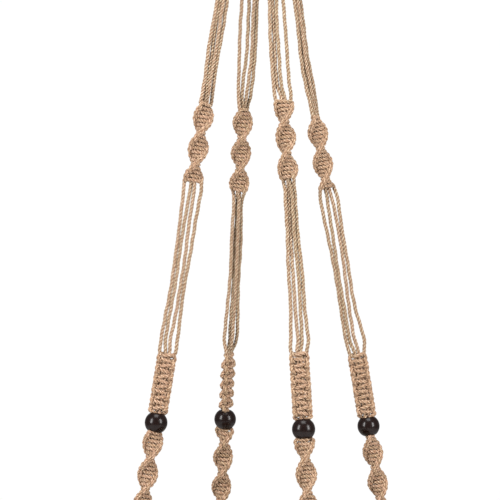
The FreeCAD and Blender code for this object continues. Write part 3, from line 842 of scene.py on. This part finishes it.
# %% Strands in the bead
def cut_short(path, line, down):
    """A path without its last points below a distance down the line."""
    stations = (path - line.start) @ line.along
    return path[:int(np.nonzero(stations <= down)[0][-1]) + 1]


def bead_routes(line, lasts, start, end, facing, goal):
    """Four strands in a two by two bundle that turns from one sinnet's facing to the next."""
    half = PITCH / 2
    thins = [-1, 1, -1, 1] if (lasts[0] - line.start) @ line.thin(facing) < 0 else [1, -1, 1, -1]
    change = (goal - facing + 45.0) % 90.0 - 45.0
    paths = []
    for number in range(4):
        wide, thin = half * (-1, -1, 1, 1)[number], half * thins[number]
        points = [lasts[number]]
        for share in (0.04, 0.2, 0.5, 0.8, 0.97):
            points.append(line.at(start + share * (end - start), wide, thin, facing + share * change))
        paths.append(spline(points))
    return paths


def bead_exit_order(line, paths, facing):
    """Which strand takes each place across the lower spiral: the workers are the two that
    already lie towards their side of the knot."""
    wides = np.array([(path[-1] - line.start) @ line.wide(facing) for path in paths])
    thins = np.array([(path[-1] - line.start) @ line.thin(facing) for path in paths])
    left, right = np.argsort(wides)[:2], np.argsort(wides)[2:]
    left, right = left[np.argsort(thins[left])], right[np.argsort(thins[right])]
    return [int(left[0]), int(left[1]), int(right[0]), int(right[1])]


print("there is", BEAD_ROOM / MM, "mm between two sinnets for a bead")


# %% [markdown]
# ## Over the rim and round the pot
#
# Below the lower spirals each leg parts.  Two strands go to the left and two to the right,
# over the pot's rim and down its wall, to meet two strands of the next leg.  The wall is a
# cone, so a place on it is an azimuth, a height and a distance out.

# %% Routes on the pot
KNOT_AZIMUTHS = {"front": 270.0, "right": 0.0, "back": 90.0, "left": 180.0}
STANDOFF = CORD / 2 + CLEARANCE + 0.8 * MM      # a strand's middle, out from the wall
KNOT_STANDOFF = 5.8 * MM                        # a cradle knot's middle, out from the wall


def on_pot(azimuth, z, standoff=STANDOFF):
    """A place outside the pot's wall, with its azimuth in radians."""
    radius = BASE_RADIUS + (z - pot_low.z) * POT_SLOPE + standoff
    return np.array([radius * math.cos(azimuth), radius * math.sin(azimuth), z])


def knot_line(azimuth):
    """The line of a cradle knot, which lies flat on the wall."""
    line = Line(azimuth, [0.0, 0.0, 0.0], POT_SLOPE, -1.0)
    line.start = on_pot(line.azimuth, pot_high.z - KNOT_DROP, 0.0) + line.outward * KNOT_STANDOFF
    return line


KNOT_LINES = {name: knot_line(azimuth) for name, azimuth in KNOT_AZIMUTHS.items()}
print("cradle knots:", {name: np.round(line.start, 3).tolist() for name, line in KNOT_LINES.items()})


def knot_of(name, side):
    """The cradle knot on one side of a leg."""
    wanted = (LEGS[name]["azimuth"] + side * 45.0) % 360.0
    return next(knot for knot, azimuth in KNOT_AZIMUTHS.items() if azimuth == wanted)


def rim_route(name, number, last, facing):
    """One strand from the lower spiral over the rim and round the wall to its cradle knot."""
    line, side = LEG_LINES[name], (-1, -1, 1, 1)[number]
    low_start = leg_stations(name)["lower_spiral"]
    end = low_start[0] + low_start[1] * low_start[2] * MM
    leg_side = ROW_OFFSETS[number]
    lane = (leg_side / ROW) - side
    middle_radius = RIM_RADIUS - KNOT_DROP * POT_SLOPE / 2
    quarter, lead = middle_radius * math.pi / 4, 9.0 * MM
    reach, bend_z = quarter - 2 * ROW, pot_high.z - lead
    fall = bend_z - (pot_high.z - KNOT_DROP + 2 * lead)
    shift = side * lane * ROW * (math.hypot(reach, fall) - fall) / reach
    points = [last, line.at(end + 6 * MM, leg_side, 0.0, facing),
              on_pot(line.azimuth + leg_side / RIM_RADIUS, pot_high.z + 1.0 * MM, STANDOFF + 0.8 * MM)]
    for share in (0.0, 0.25, 0.5, 0.75, 1.0):
        across = leg_side + side * reach * share
        points.append(on_pot(line.azimuth + across / middle_radius, bend_z - fall * share + shift))
    goal = KNOT_LINES[knot_of(name, side)]
    place = leg_side - side * 2 * ROW
    tuck = 0.9 * MM * (1 if place < -ROW else -1 if place > ROW else 0)
    points += [goal.at(-9.0 * MM, place), goal.at(-2.0 * MM, place, tuck), goal.at(0.0, place, tuck)]
    return spline(points)


def lower_route(knot, number, last):
    """One strand from a cradle knot, round the pot's lower edge, into the bottom wrap."""
    line = KNOT_LINES[knot]
    thin, wide = SQUARE_STAGE[number]
    turned_thin, turned_wide = TURNED_STAGE[number]
    place = ROW_OFFSETS[number]
    length = KNOT_HALF_KNOTS * HALF_KNOT_LENGTH["square"] * MM
    reach = CORD / 2 + CLEARANCE
    corner = on_pot(line.azimuth, pot_low.z, 0.0) + line.sideways * place + line.level * reach - [0, 0, reach]
    above = on_pot(line.azimuth, pot_low.z + 22 * MM, STANDOFF) + line.sideways * place
    inner = line.level * (BLOCK + thin) + line.sideways * wide
    root = inner + [0.0, 0.0, bottom_wrap_high.z + BELOW_WRAP]
    half_way = (corner + root) / 2 + line.sideways * (turned_wide - (place + wide) / 2) - [0, 0, turned_thin]
    toward = 0.82 * corner + 0.18 * root
    return spline([last, line.at(length + 6 * MM, place), above, corner + [0, 0, 7 * MM],
                   corner + [0, 0, -0.4 * MM], toward, half_way, 0.8 * root + 0.2 * half_way, root,
                   inner + [0, 0, bottom_wrap_high.z - 4 * MM], inner + [0, 0, bottom_wrap_low.z + 2 * MM]])


# %% [markdown]
# ## All sixteen strands
#
# Each strand is followed from the top wrap to the bottom wrap.  It is a list of stretches,
# one for each named node that it runs through.  Where a stretch ends, the strands are put in
# order across, because workers change sides in every half knot.

# %% Following the strands
def follow_leg(name):
    """The four strands of one leg, each a list of (node, path), in order at the pot's rim."""
    line, stations = LEG_LINES[name], leg_stations(name)
    spiral, square, low = stations["spiral"], stations["square"], stations["lower_spiral"]
    low_out = end_facing(low[3], low[1])
    square_end = square[0] + square[1] * square[2] * MM
    tracks = [[] for _ in range(4)]

    def extend(order, node, paths):
        nonlocal tracks
        tracks = [tracks[number] + [(node, path)] for number, path in zip(order, paths)]

    firsts, hang = strands_in_wrap(line), SIDE_HANG[name]
    order, paths = open_routes(name, firsts, OPEN_ABOVE[name], spiral[0], spiral[3], "spiral", hang)
    extend(order, name + "_upper_strands", paths)
    spiral_line, spiral_end = hung_beside(name), spiral[0] + spiral[1] * spiral[2] * MM
    order = across_order(paths, line.wide(spiral[3]))
    paths = [cut_short(path, line, spiral_end - 0.4 * MM) for path in sinnet(spiral_line, "spiral", *spiral)]
    extend(order, name + "_upper_spiral", paths)
    lasts = [[path[-1]] for path in paths]
    order, paths = open_routes(name, lasts, OPEN_BELOW[name], square[0], square[3], "square")
    extend(order, name + "_middle_strands", paths)
    order = across_order(paths, line.wide(square[3]))
    paths = [cut_short(path, line, square_end - 0.6 * MM) for path in sinnet(line, "square", *square)]
    extend(order, name + "_square_sinnet", paths)
    order = across_order(paths, line.wide(square[3]))
    paths = bead_routes(line, [paths[number][-1] for number in order], square_end, low[0], square[3], low[3])
    extend(order, name + "_bead_strands", paths)
    order = bead_exit_order(line, paths, low[3])
    low_end = low[0] + low[1] * low[2] * MM
    paths = [cut_short(path, line, low_end - 0.4 * MM) for path in sinnet(line, "spiral", *low)]
    extend(order, name + "_lower_spiral", paths)
    order = across_order(paths, line.wide(low_out))
    paths = [rim_route(name, place, paths[number][-1], low_out) for place, number in enumerate(order)]
    extend(order, name + "_rim_strands", paths)
    return tracks


def follow_cradle(tracks_of):
    """Ties the strands of neighbouring legs in the cradle knots and takes them to the wrap."""
    finished = []
    for knot, azimuth in KNOT_AZIMUTHS.items():
        line = KNOT_LINES[knot]
        before = next(name for name in LEGS if knot_of(name, 1) == knot)
        after = next(name for name in LEGS if knot_of(name, -1) == knot)
        tracks = tracks_of[before][2:] + tracks_of[after][:2]
        paths = sinnet(line, "square", 0.0, KNOT_HALF_KNOTS, HALF_KNOT_LENGTH["square"], 0.0)
        tracks = [track + [(knot + "_cradle_knot", path)] for track, path in zip(tracks, paths)]
        order = across_order(paths, line.sideways)
        for place, number in enumerate(order):
            route = lower_route(knot, place, paths[number][-1])
            finished.append(tracks[number] + [(knot + "_lower_strands", route)])
    return finished


TRACKS = follow_cradle({name: follow_leg(name) for name in LEGS})
print(len(TRACKS), "strands, each through", len(TRACKS[0]), "nodes")

# %% [markdown]
# ## From paths to cords
#
# The stretches of a strand are joined, softened a little and spaced evenly, so its twist
# runs on from one node into the next.  The cord is then cut at the nodes' ends, and each
# node gets one piece with the cords that run through it.

# %% Joining, twisting and cutting
KNOT_WORDS = ("_spiral", "_sinnet", "_knot", "_bead_strands")
STRAND_TONES = [0.15, 0.7, 0.4, 0.95, 0.3, 0.85, 0.05, 0.6, 0.5, 0.9, 0.2, 0.75, 0.35, 1.0, 0.1, 0.65]


def soften(path, rounds):
    """Each round moves every inner point to a quarter, a half and a quarter of its neighbours."""
    for _ in range(rounds):
        path = np.concatenate([path[:1], path[:-2] / 4 + path[1:-1] / 2 + path[2:] / 4, path[-1:]])
    return path


def uneven(path, seed, share):
    """path + share * (a slow and a quick wave in each direction, a few tenths of a millimetre high)."""
    run = lengths(path)[:, None] / MM
    start = np.array([0.7, 2.9, 4.4]) * (seed + 1)
    slow = np.sin(run / [31.0, 27.0, 36.0] * 2 * np.pi / 2.3 + start) * 0.28
    quick = np.sin(run / [13.0, 11.5, 14.5] * 2 * np.pi / 1.4 + 2.2 * start) * 0.16
    return path + share[:, None] * (slow + quick) * MM


def join_track(track):
    """One even path, and the stretch number that each of its points belongs to."""
    pieces, marks = [], []
    for number, (_node, path) in enumerate(track):
        run = lengths(path)
        pieces.append(path)
        marks.append(number + run / run[-1] * 0.999)
    path, mark = np.concatenate(pieces), np.concatenate(marks)
    kept = np.r_[True, np.linalg.norm(np.diff(path, axis=0), axis=1) > 0.02 * MM]
    path, mark = path[kept], mark[kept]
    run = lengths(path)
    wanted = np.linspace(0.0, run[-1], int(round(run[-1] / RING_STEP)) + 1)
    even = np.stack([np.interp(wanted, run, path[:, axis]) for axis in range(3)], axis=1)
    return soften(even, 2), np.interp(wanted, run, mark)


def tight_parts(track, mark):
    """1 where a strand is in a knot, easing to 0 outside it."""
    tight = np.array([any(word in node for word in KNOT_WORDS) for node, _path in track], float)
    raw = tight[np.minimum(mark.astype(int), len(track) - 1)]
    return np.convolve(np.pad(raw, 6, "edge"), np.ones(13) / 13, "valid")


PIECES = {}
total = 0.0
for index, track in enumerate(TRACKS):
    path, mark = join_track(track)
    tight = tight_parts(track, mark)
    path = uneven(path, index, 1.0 - 0.65 * tight)
    total += lengths(path)[-1]
    strand = lay_strand(path, CROWN, index * 2.1, STRAND_TONES[index], tight, index)
    for number, (node, _path) in enumerate(track):
        inside = np.nonzero(mark.astype(int) == number)[0]
        first, last = int(inside[0]), min(int(inside[-1]) + 1, len(path) - 1)
        PIECES.setdefault(node, []).append((strand, first, last))
print(len(PIECES), "pieces hold", round(total, 1), "m of strand")


# %% Making the strand pieces
faces = 0
for node, cuts in PIECES.items():
    piece = make_cords(node + "_cords", cuts)
    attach(piece, "hanger")
    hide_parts(node)
    faces += len(piece.data.polygons)
print("made", len(PIECES), "strand pieces,", faces, "faces")

# %% [markdown]
# ## The folds over the ring
#
# The eight long cords are folded in the middle over the ring's lowest part, four side by
# side in two layers.  Each fold is two straight runs that touch an arc round the wire.

# %% The folds
def fold_path(x, layer):
    """Up from the wrap, round the wire in an arc, and down: tangent runs and an arc, by angles."""
    centre = np.array([x, 0.0, RING_CENTRE_Z - math.sqrt(RING_RADIUS ** 2 - x ** 2)])
    radius = WIRE / 2 + CORD / 2 + layer * PITCH + 0.1 * MM
    foot, rise = (layer + 0.5) * PITCH, centre[2] - top_wrap_high.z
    distance = math.hypot(foot, rise)
    lean = math.atan2(foot, rise) - math.asin(min(1.0, radius / distance))
    angle = np.linspace(-lean, math.pi + lean, 40)
    arc = centre + radius * np.stack([np.zeros(40), np.cos(angle), np.sin(angle)], axis=1)
    inside = 6 * MM
    feet = [np.array([x, side * foot, top_wrap_high.z]) for side in (1, -1)]
    starts = [np.array([x, side * foot, top_wrap_high.z - inside]) for side in (1, -1)]
    path = np.concatenate([[starts[0]], [feet[0]], arc, [feet[1]], [starts[1]]])
    return soften(evenly(path, RING_STEP), 4)


folds = []
for column in range(4):
    for layer in range(2):
        number = column * 2 + layer
        fold_line = fold_path((column - 1.5) * PITCH, layer)
        strand = lay_strand(fold_line, CORD / 2, number * 1.7, STRAND_TONES[number], 0.3, number + 20)
        folds.append((strand, 0, len(fold_line) - 1))
loops = make_cords("cord_loops_folded", folds)
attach(loops, "hanger")
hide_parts("cord_loops")
print("made", loops.name)

# %% [markdown]
# ## The gathering wraps
#
# A separate cord is wound tightly round all sixteen strands, ten turns side by side, and
# both of its ends are drawn in under the turns.  It is a helix with tucked ends.

# %% The wraps
def wrap_path(top, bottom, turns=10):
    """A helix: the angle grows evenly and the height falls, after the start comes out from inside."""
    inner = 1.5 * PITCH * math.sqrt(2) + CORD / 2 + 0.1 * MM
    radius = inner + CORD / 2
    angle = np.linspace(-0.7, turns * 2 * math.pi + 0.7, turns * 60)
    share = np.clip(angle / (turns * 2 * math.pi), 0.0, 1.0)
    tucked = np.clip(np.maximum(-angle, angle - turns * 2 * math.pi) / 0.7, 0.0, 1.0)
    height = top - CORD / 2 - share * (top - bottom - CORD)
    inset = radius - tucked ** 2 * CORD * 1.3
    return evenly(np.stack([inset * np.cos(angle), inset * np.sin(angle), height], axis=1), RING_STEP)


for node, high, low, tone in (("top_wrap", top_wrap_high.z, top_wrap_low.z, 0.45),
                              ("bottom_wrap", bottom_wrap_high.z, bottom_wrap_low.z, 0.7)):
    winding = wrap_path(high, low)
    strand = lay_strand(winding, CORD / 2, 0.4, tone, 0.35, 31.0 + tone)
    wrap = make_cords(node + "_winding", [(strand, 0, len(winding) - 1)])
    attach(wrap, "hanger")
    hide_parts(node)
    print(wrap.name, "takes", round(lengths(winding)[-1], 2), "m of cord")

# %% [markdown]
# ## The tassel
#
# Below the bottom wrap the sixteen ends hang free.  Each is a limp cord that falls under its
# own weight, a little apart from its neighbours, with a plain cut end.  Its route is a NURBS
# spline with a few chosen points, and the strand follows points read from it.

# %% The sixteen cord ends
TASSEL_TOP = bottom_wrap_low.z + 2 * MM
# Each end: the turn from its place in the wrap, how far out it hangs, a sideways bow, all at
# its lower end in degrees and millimetres, and its length in millimetres.
TAIL_SHAPES = [
    (9, 11.5, 2.1, 196), (-14, 6.0, -1.6, 190), (6, 13.2, -2.4, 199), (-4, 8.4, 1.2, 193),
    (12, 12.4, 1.8, 188), (-8, 5.2, -2.2, 198), (3, 13.6, 2.6, 194), (-11, 9.1, -1.1, 200),
    (7, 12.9, -1.9, 191), (-6, 6.6, 1.5, 197), (10, 13.0, 2.2, 195), (-13, 8.0, -2.5, 189),
    (5, 12.2, 1.4, 198), (-9, 5.8, -1.3, 192), (8, 13.4, -2.0, 196), (-3, 9.6, 2.4, 200)]


def tail_route(start, turn, reach, bow, length):
    """Chosen points down one free end: straight out of the wrap, then slightly out and bowed."""
    angle = math.atan2(start[1], start[0])
    begin = math.hypot(start[0], start[1])
    goal = angle + math.radians(turn)
    points = []
    for share, out, sway in ((0.0, 0.0, 0.0), (0.05, 0.0, 0.0), (0.17, 0.12, 0.2), (0.32, 0.34, 0.8),
                             (0.5, 0.62, 1.0), (0.68, 0.84, 0.4), (0.86, 0.97, -0.4), (1.0, 1.0, -0.5)):
        radius = begin + (reach * MM - begin) * out
        toward = angle + (goal - angle) * out
        across = sway * bow * MM
        points.append([radius * math.cos(toward) - across * math.sin(toward),
                       radius * math.sin(toward) + across * math.cos(toward),
                       start[2] - share * length * MM])
    return points


tail_number = 0
for knot, azimuth in KNOT_AZIMUTHS.items():
    line = KNOT_LINES[knot]
    for thin, wide in SQUARE_STAGE:
        turn, reach, bow, length = TAIL_SHAPES[tail_number]
        start = line.level * (BLOCK + thin) + line.sideways * wide + [0.0, 0.0, TASSEL_TOP]
        route = evenly(spline(tail_route(start, turn, reach, bow, length)), RING_STEP)
        tone = STRAND_TONES[tail_number]
        strand = lay_strand(route, CORD / 2, tail_number * 1.3, tone, 0.0, 40 + tail_number)
        tail = make_cords(f"tassel_end_{tail_number + 1:02d}", [(strand, 0, len(route) - 1)])
        ends_flat(tail.data, 2)
        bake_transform(tail)
        if tail_number == 0:
            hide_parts("tassel")
        tail_number += 1
print("made", tail_number, "free ends")

# %% [markdown]
# ## The ring
#
# The ring is bent from round wire and welded closed: a circle carried round a circle.

# %% The steel ring
def lathe(name, profile, line, material, sides=96):
    """A surface of revolution: a closed (radius, distance) profile carried round a line."""
    angle = np.arange(sides) / sides * 2 * math.pi
    radius, down = np.array(profile).T
    spokes = (np.multiply.outer(np.cos(angle), line.wide(0.0))
              + np.multiply.outer(np.sin(angle), line.thin(0.0)))
    grid = line.start + down[None, :, None] * line.along + radius[None, :, None] * spokes[:, None]
    count = len(profile)
    ring = np.arange(sides)[:, None]
    point = np.arange(count)[None]
    after, onward = (ring + 1) % sides, (point + 1) % count
    quads = np.stack(np.broadcast_arrays(ring * count + point, ring * count + onward, after * count + onward,
                                         after * count + point), axis=-1).reshape(-1, 4)
    mesh = bpy.data.meshes.new(name)
    mesh.from_pydata(grid.reshape(-1, 3), [], quads.tolist())
    step = np.hypot(*np.diff(np.array(profile), axis=0, append=[profile[0]]).T)
    place = np.r_[0.0, np.cumsum(step)] * 100.0
    turn = np.arange(sides + 1) / sides
    u = np.stack(np.broadcast_arrays(turn[:-1, None], turn[:-1, None], turn[1:, None], turn[1:, None]), -1)
    v = np.stack([place[:-1], place[1:], place[1:], place[:-1]], -1)[None]
    uv = np.stack(np.broadcast_arrays(u, v), -1).reshape(-1)
    mesh.uv_layers.new(name="grain").data.foreach_set("uv", uv)
    face_outwards(mesh)
    return add_piece(mesh, material)


def face_outwards(mesh):
    """Turns all faces of a closed mesh so that they point out of it."""
    shape = bmesh.new()
    shape.from_mesh(mesh)
    bmesh.ops.remove_doubles(shape, verts=shape.verts, dist=1e-7)
    bmesh.ops.recalc_face_normals(shape, faces=shape.faces)
    shape.to_mesh(mesh)
    shape.free()


RING_LINE = Line(0.0, [0.0, 0.0, RING_CENTRE_Z], 0.0, 1.0)
RING_LINE.along, RING_LINE.sideways, RING_LINE.outward = (np.array(axis) for axis in (
    [0.0, 1.0, 0.0], [0.0, 0.0, 1.0], [1.0, 0.0, 0.0]))
angles = np.arange(28) / 28 * 2 * math.pi
wire_section = np.stack([RING_RADIUS + WIRE / 2 * np.cos(angles), WIRE / 2 * np.sin(angles)], axis=1)
ring_piece = lathe("ring_wire", wire_section.tolist(), RING_LINE, STEEL, 128)
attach(ring_piece, "ring")
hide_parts("ring")
print("made", ring_piece.name)

# %% [markdown]
# ## The beads
#
# A bead is turned on a lathe: a ball with its ends cut flat, a hole bored through it, and
# the hole's edges eased.  The profile is walked once round, and carried round the leg.

# %% The wooden beads
BEAD_RADIUS, BEAD_HALF, HOLE, EASE = 10.2 * MM, 8.5 * MM, 4.2 * MM, 0.8 * MM


def bead_profile():
    """Hole wall, eased edge, flat end, small round shoulder, ball, and back again."""
    shoulder = math.asin(BEAD_HALF / BEAD_RADIUS)
    ball = np.linspace(-shoulder, shoulder, 34)[1:-1]
    ease = np.linspace(0.0, math.pi / 2, 7)
    outer = np.stack([BEAD_RADIUS * np.cos(ball), BEAD_RADIUS * np.sin(ball)], axis=1)
    low = np.stack([HOLE + EASE * (1 - np.cos(ease)), -BEAD_HALF + EASE * (1 - np.sin(ease))], axis=1)
    high = low[::-1] * [1.0, -1.0]
    rim = BEAD_RADIUS * math.cos(shoulder)
    flat_low = [[rim - 0.35 * MM, -BEAD_HALF], [rim - 0.1 * MM, -BEAD_HALF + 0.08 * MM]]
    flat_high = [[x, -y] for x, y in reversed(flat_low)]
    wall = [[HOLE, y * BEAD_HALF] for y in (0.6, 0.2, -0.2, -0.6)]
    return low.tolist() + flat_low + outer.tolist() + flat_high + high.tolist() + wall


for name, leg in LEGS.items():
    line, stations = LEG_LINES[name], leg_stations(name)
    middle = stations["lower_spiral"][0] - BEAD_ROOM / 2
    bead_line = leg_line(leg["azimuth"])
    bead_line.start = line.at(middle)
    bead = lathe(name + "_bead_turned", bead_profile(), bead_line, DARK_WOOD, 80)
    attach(bead, name + "_bead")
    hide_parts(name + "_bead")
    print("made", bead.name, "at", np.round(bead_line.start, 4))

# %% [markdown]
# ## The pot
#
# The pot is thrown on a wheel, so it is a profile carried round its axis too: foot ring,
# rounded lower edge, tapered wall, soft rim, and the inside with its rounded floor.

# %% The pot
def rounded(corners, radii, count=10):
    """A profile through corners, with an arc of its radius at each corner that has one."""
    corners = [np.array(corner, float) for corner in corners]
    made = []
    for index, (corner, radius) in enumerate(zip(corners, radii)):
        if not radius:
            made.append(corner)
            continue
        back, ahead = corners[index - 1] - corner, corners[(index + 1) % len(corners)] - corner
        back, ahead = back / np.linalg.norm(back), ahead / np.linalg.norm(ahead)
        half = math.acos(float(back @ ahead)) / 2
        inward = (back + ahead) / np.linalg.norm(back + ahead)
        centre = corner + inward * radius / math.sin(half)
        first = corner + back * radius / math.tan(half) - centre
        last = corner + ahead * radius / math.tan(half) - centre
        sweep = math.pi - 2 * half
        share = np.linspace(0.0, 1.0, count)[:, None]
        arc = (np.sin((1 - share) * sweep) * first + np.sin(share * sweep) * last) / math.sin(sweep)
        made += list(centre + arc)
    return made


POT_LINE = Line(0.0, [0.0, 0.0, 0.0], 0.0, 1.0)
height = pot_high.z - pot_low.z
base_in = BASE_RADIUS - POT_WALL + POT_FLOOR * POT_SLOPE
base_y, rim_y = -pot_low.z, -pot_high.z
foot = BASE_RADIUS - POT_FILLET
steps = np.linspace(0.0, 1.0, 12)[1:-1]
outer_wall = [[BASE_RADIUS + (RIM_RADIUS - BASE_RADIUS) * s, base_y + (rim_y - base_y) * s] for s in steps]
inner_wall = [[RIM_RADIUS - POT_WALL + (base_in - RIM_RADIUS + POT_WALL) * s,
               rim_y + (base_y - POT_FLOOR - rim_y) * s] for s in steps]
floors = [base_y - 2 * MM, base_y - POT_FLOOR]
pot_corners = ([[0.0, floors[0]], [foot - 6 * MM, floors[0]], [foot - 6 * MM, base_y], [BASE_RADIUS, base_y]]
               + outer_wall + [[RIM_RADIUS, rim_y], [RIM_RADIUS - POT_WALL, rim_y]] + inner_wall
               + [[base_in, floors[1]], [0.0, floors[1]]])
pot_radii = ([0.0, 1.2 * MM, 0.8 * MM, POT_FILLET] + [0.0] * len(outer_wall) + [2.2 * MM, 2.2 * MM]
             + [0.0] * len(inner_wall) + [10 * MM, 0.0])
pot_piece = lathe("pot_thrown", [list(map(float, corner)) for corner in rounded(pot_corners, pot_radii)],
                  POT_LINE, GLAZE, 144)
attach(pot_piece, "pot")
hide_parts("pot")
print("made", pot_piece.name)

# %% [markdown]
# ## Floor, light and camera
#
# A pale floor and a pale world are enough for a hanging object.  Two large soft lights stand
# left and right of the camera, and a weaker one above, so the cords show their twist and the
# beads get one soft highlight on each side.

# %% A soft box
def add_light(name, place, aim, size, power):
    """A soft box of (width, height) at a place, turned towards a point."""
    light = bpy.data.lights.new(name, "AREA")
    light.shape, light.size, light.size_y = "RECTANGLE", *size
    light.energy = power
    lamp = bpy.data.objects.new(name, light)
    bpy.context.scene.collection.objects.link(lamp)
    lamp.location = place
    towards = mathutils.Vector(aim) - mathutils.Vector(place)
    lamp.rotation_euler = towards.to_track_quat("-Z", "Y").to_euler()
    print(name, "stands at", np.round(place, 2))


# %% The floor
FLOOR_Z, FLOOR_REACH = CAD_BOX[0][2] - 0.12, 3.0
floor_mesh = bpy.data.meshes.new("studio_floor")
corners = [(x * FLOOR_REACH, y * FLOOR_REACH, FLOOR_Z) for x, y in ((-1, -1), (1, -1), (1, 1), (-1, 1))]
floor_mesh.from_pydata(corners, [], [(0, 1, 2, 3)])
pale = Finish("pale_floor", Roughness=0.9)
floor_place = pale.node("ShaderNodeTexCoord", {}, {}, "Object")
cloud = pale.noise(floor_place, 3.0)
pale.drives("Base Color", pale.mix(cloud, (0.82, 0.82, 0.81, 1.0), (0.86, 0.86, 0.86, 1.0)))
floor_mesh.materials.append(pale.material)
studio_floor = bpy.data.objects.new("studio_floor", floor_mesh)
bpy.context.scene.collection.objects.link(studio_floor)
print("the floor is at", round(FLOOR_Z, 3))

# %% The backdrop and the world
bpy.context.scene.view_settings.view_transform = "Standard"
CAMERA_AZIMUTH = math.radians(25.0)
TOWARDS_CAMERA = np.array([math.sin(CAMERA_AZIMUTH), -math.cos(CAMERA_AZIMUTH), 0.0])
RIGHT = np.array([math.cos(CAMERA_AZIMUTH), math.sin(CAMERA_AZIMUTH), 0.0])
UP = np.array([0.0, 0.0, 1.0])
world = bpy.data.worlds.new("studio")
bpy.context.scene.world = world
world.use_nodes = True
sky = Graph(world.node_tree, "Background")
direction = sky.node("ShaderNodeTexCoord", {}, {}, "Generated")
behind = sky.node("ShaderNodeVectorMath", {"operation": "DOT_PRODUCT"},
                  {0: direction, 1: tuple(-TOWARDS_CAMERA)}, "Value")
backdrop = sky.node("ShaderNodeMapRange", {"interpolation_type": "SMOOTHSTEP"},
                    {"Value": behind, "From Min": 0.86, "From Max": 0.97, "To Min": 0.0, "To Max": 1.0})
brightness = sky.mix(backdrop, (0.34, 0.34, 0.34, 1.0), (1.02, 1.02, 1.02, 1.0))
sky.drives("Color", brightness)
print("the world is white behind the object and grey all round")

# %% Lights and camera
CAMERA_Z, DISTANCE, VIEW_WIDTH = -0.5087, 2.7, 0.4525
AIM = UP * CAMERA_Z - RIGHT * 0.0118
add_light("left_softbox", AIM + TOWARDS_CAMERA * 1.2 - RIGHT * 1.4 + UP * 0.5, AIM, (0.5, 1.3), 45.0)
add_light("right_softbox", AIM + TOWARDS_CAMERA * 1.2 + RIGHT * 1.4 + UP * 0.4, AIM, (0.5, 1.3), 41.0)
add_light("top_softbox", AIM + TOWARDS_CAMERA * 0.5 + UP * 1.6, AIM, (1.0, 1.0), 22.0)

camera_data = bpy.data.cameras.new("camera")
camera_data.sensor_width = 36.0
camera_data.lens = 36.0 * DISTANCE / VIEW_WIDTH
camera_data.clip_start, camera_data.clip_end = 0.05, 50.0
camera = bpy.data.objects.new("camera", camera_data)
bpy.context.scene.collection.objects.link(camera)
camera.location = AIM + TOWARDS_CAMERA * DISTANCE
camera.rotation_euler = mathutils.Vector(-TOWARDS_CAMERA).to_track_quat("-Z", "Y").to_euler()
bpy.context.scene.camera = camera
print("camera at", np.round(camera.location, 3), "lens", round(camera_data.lens, 1))
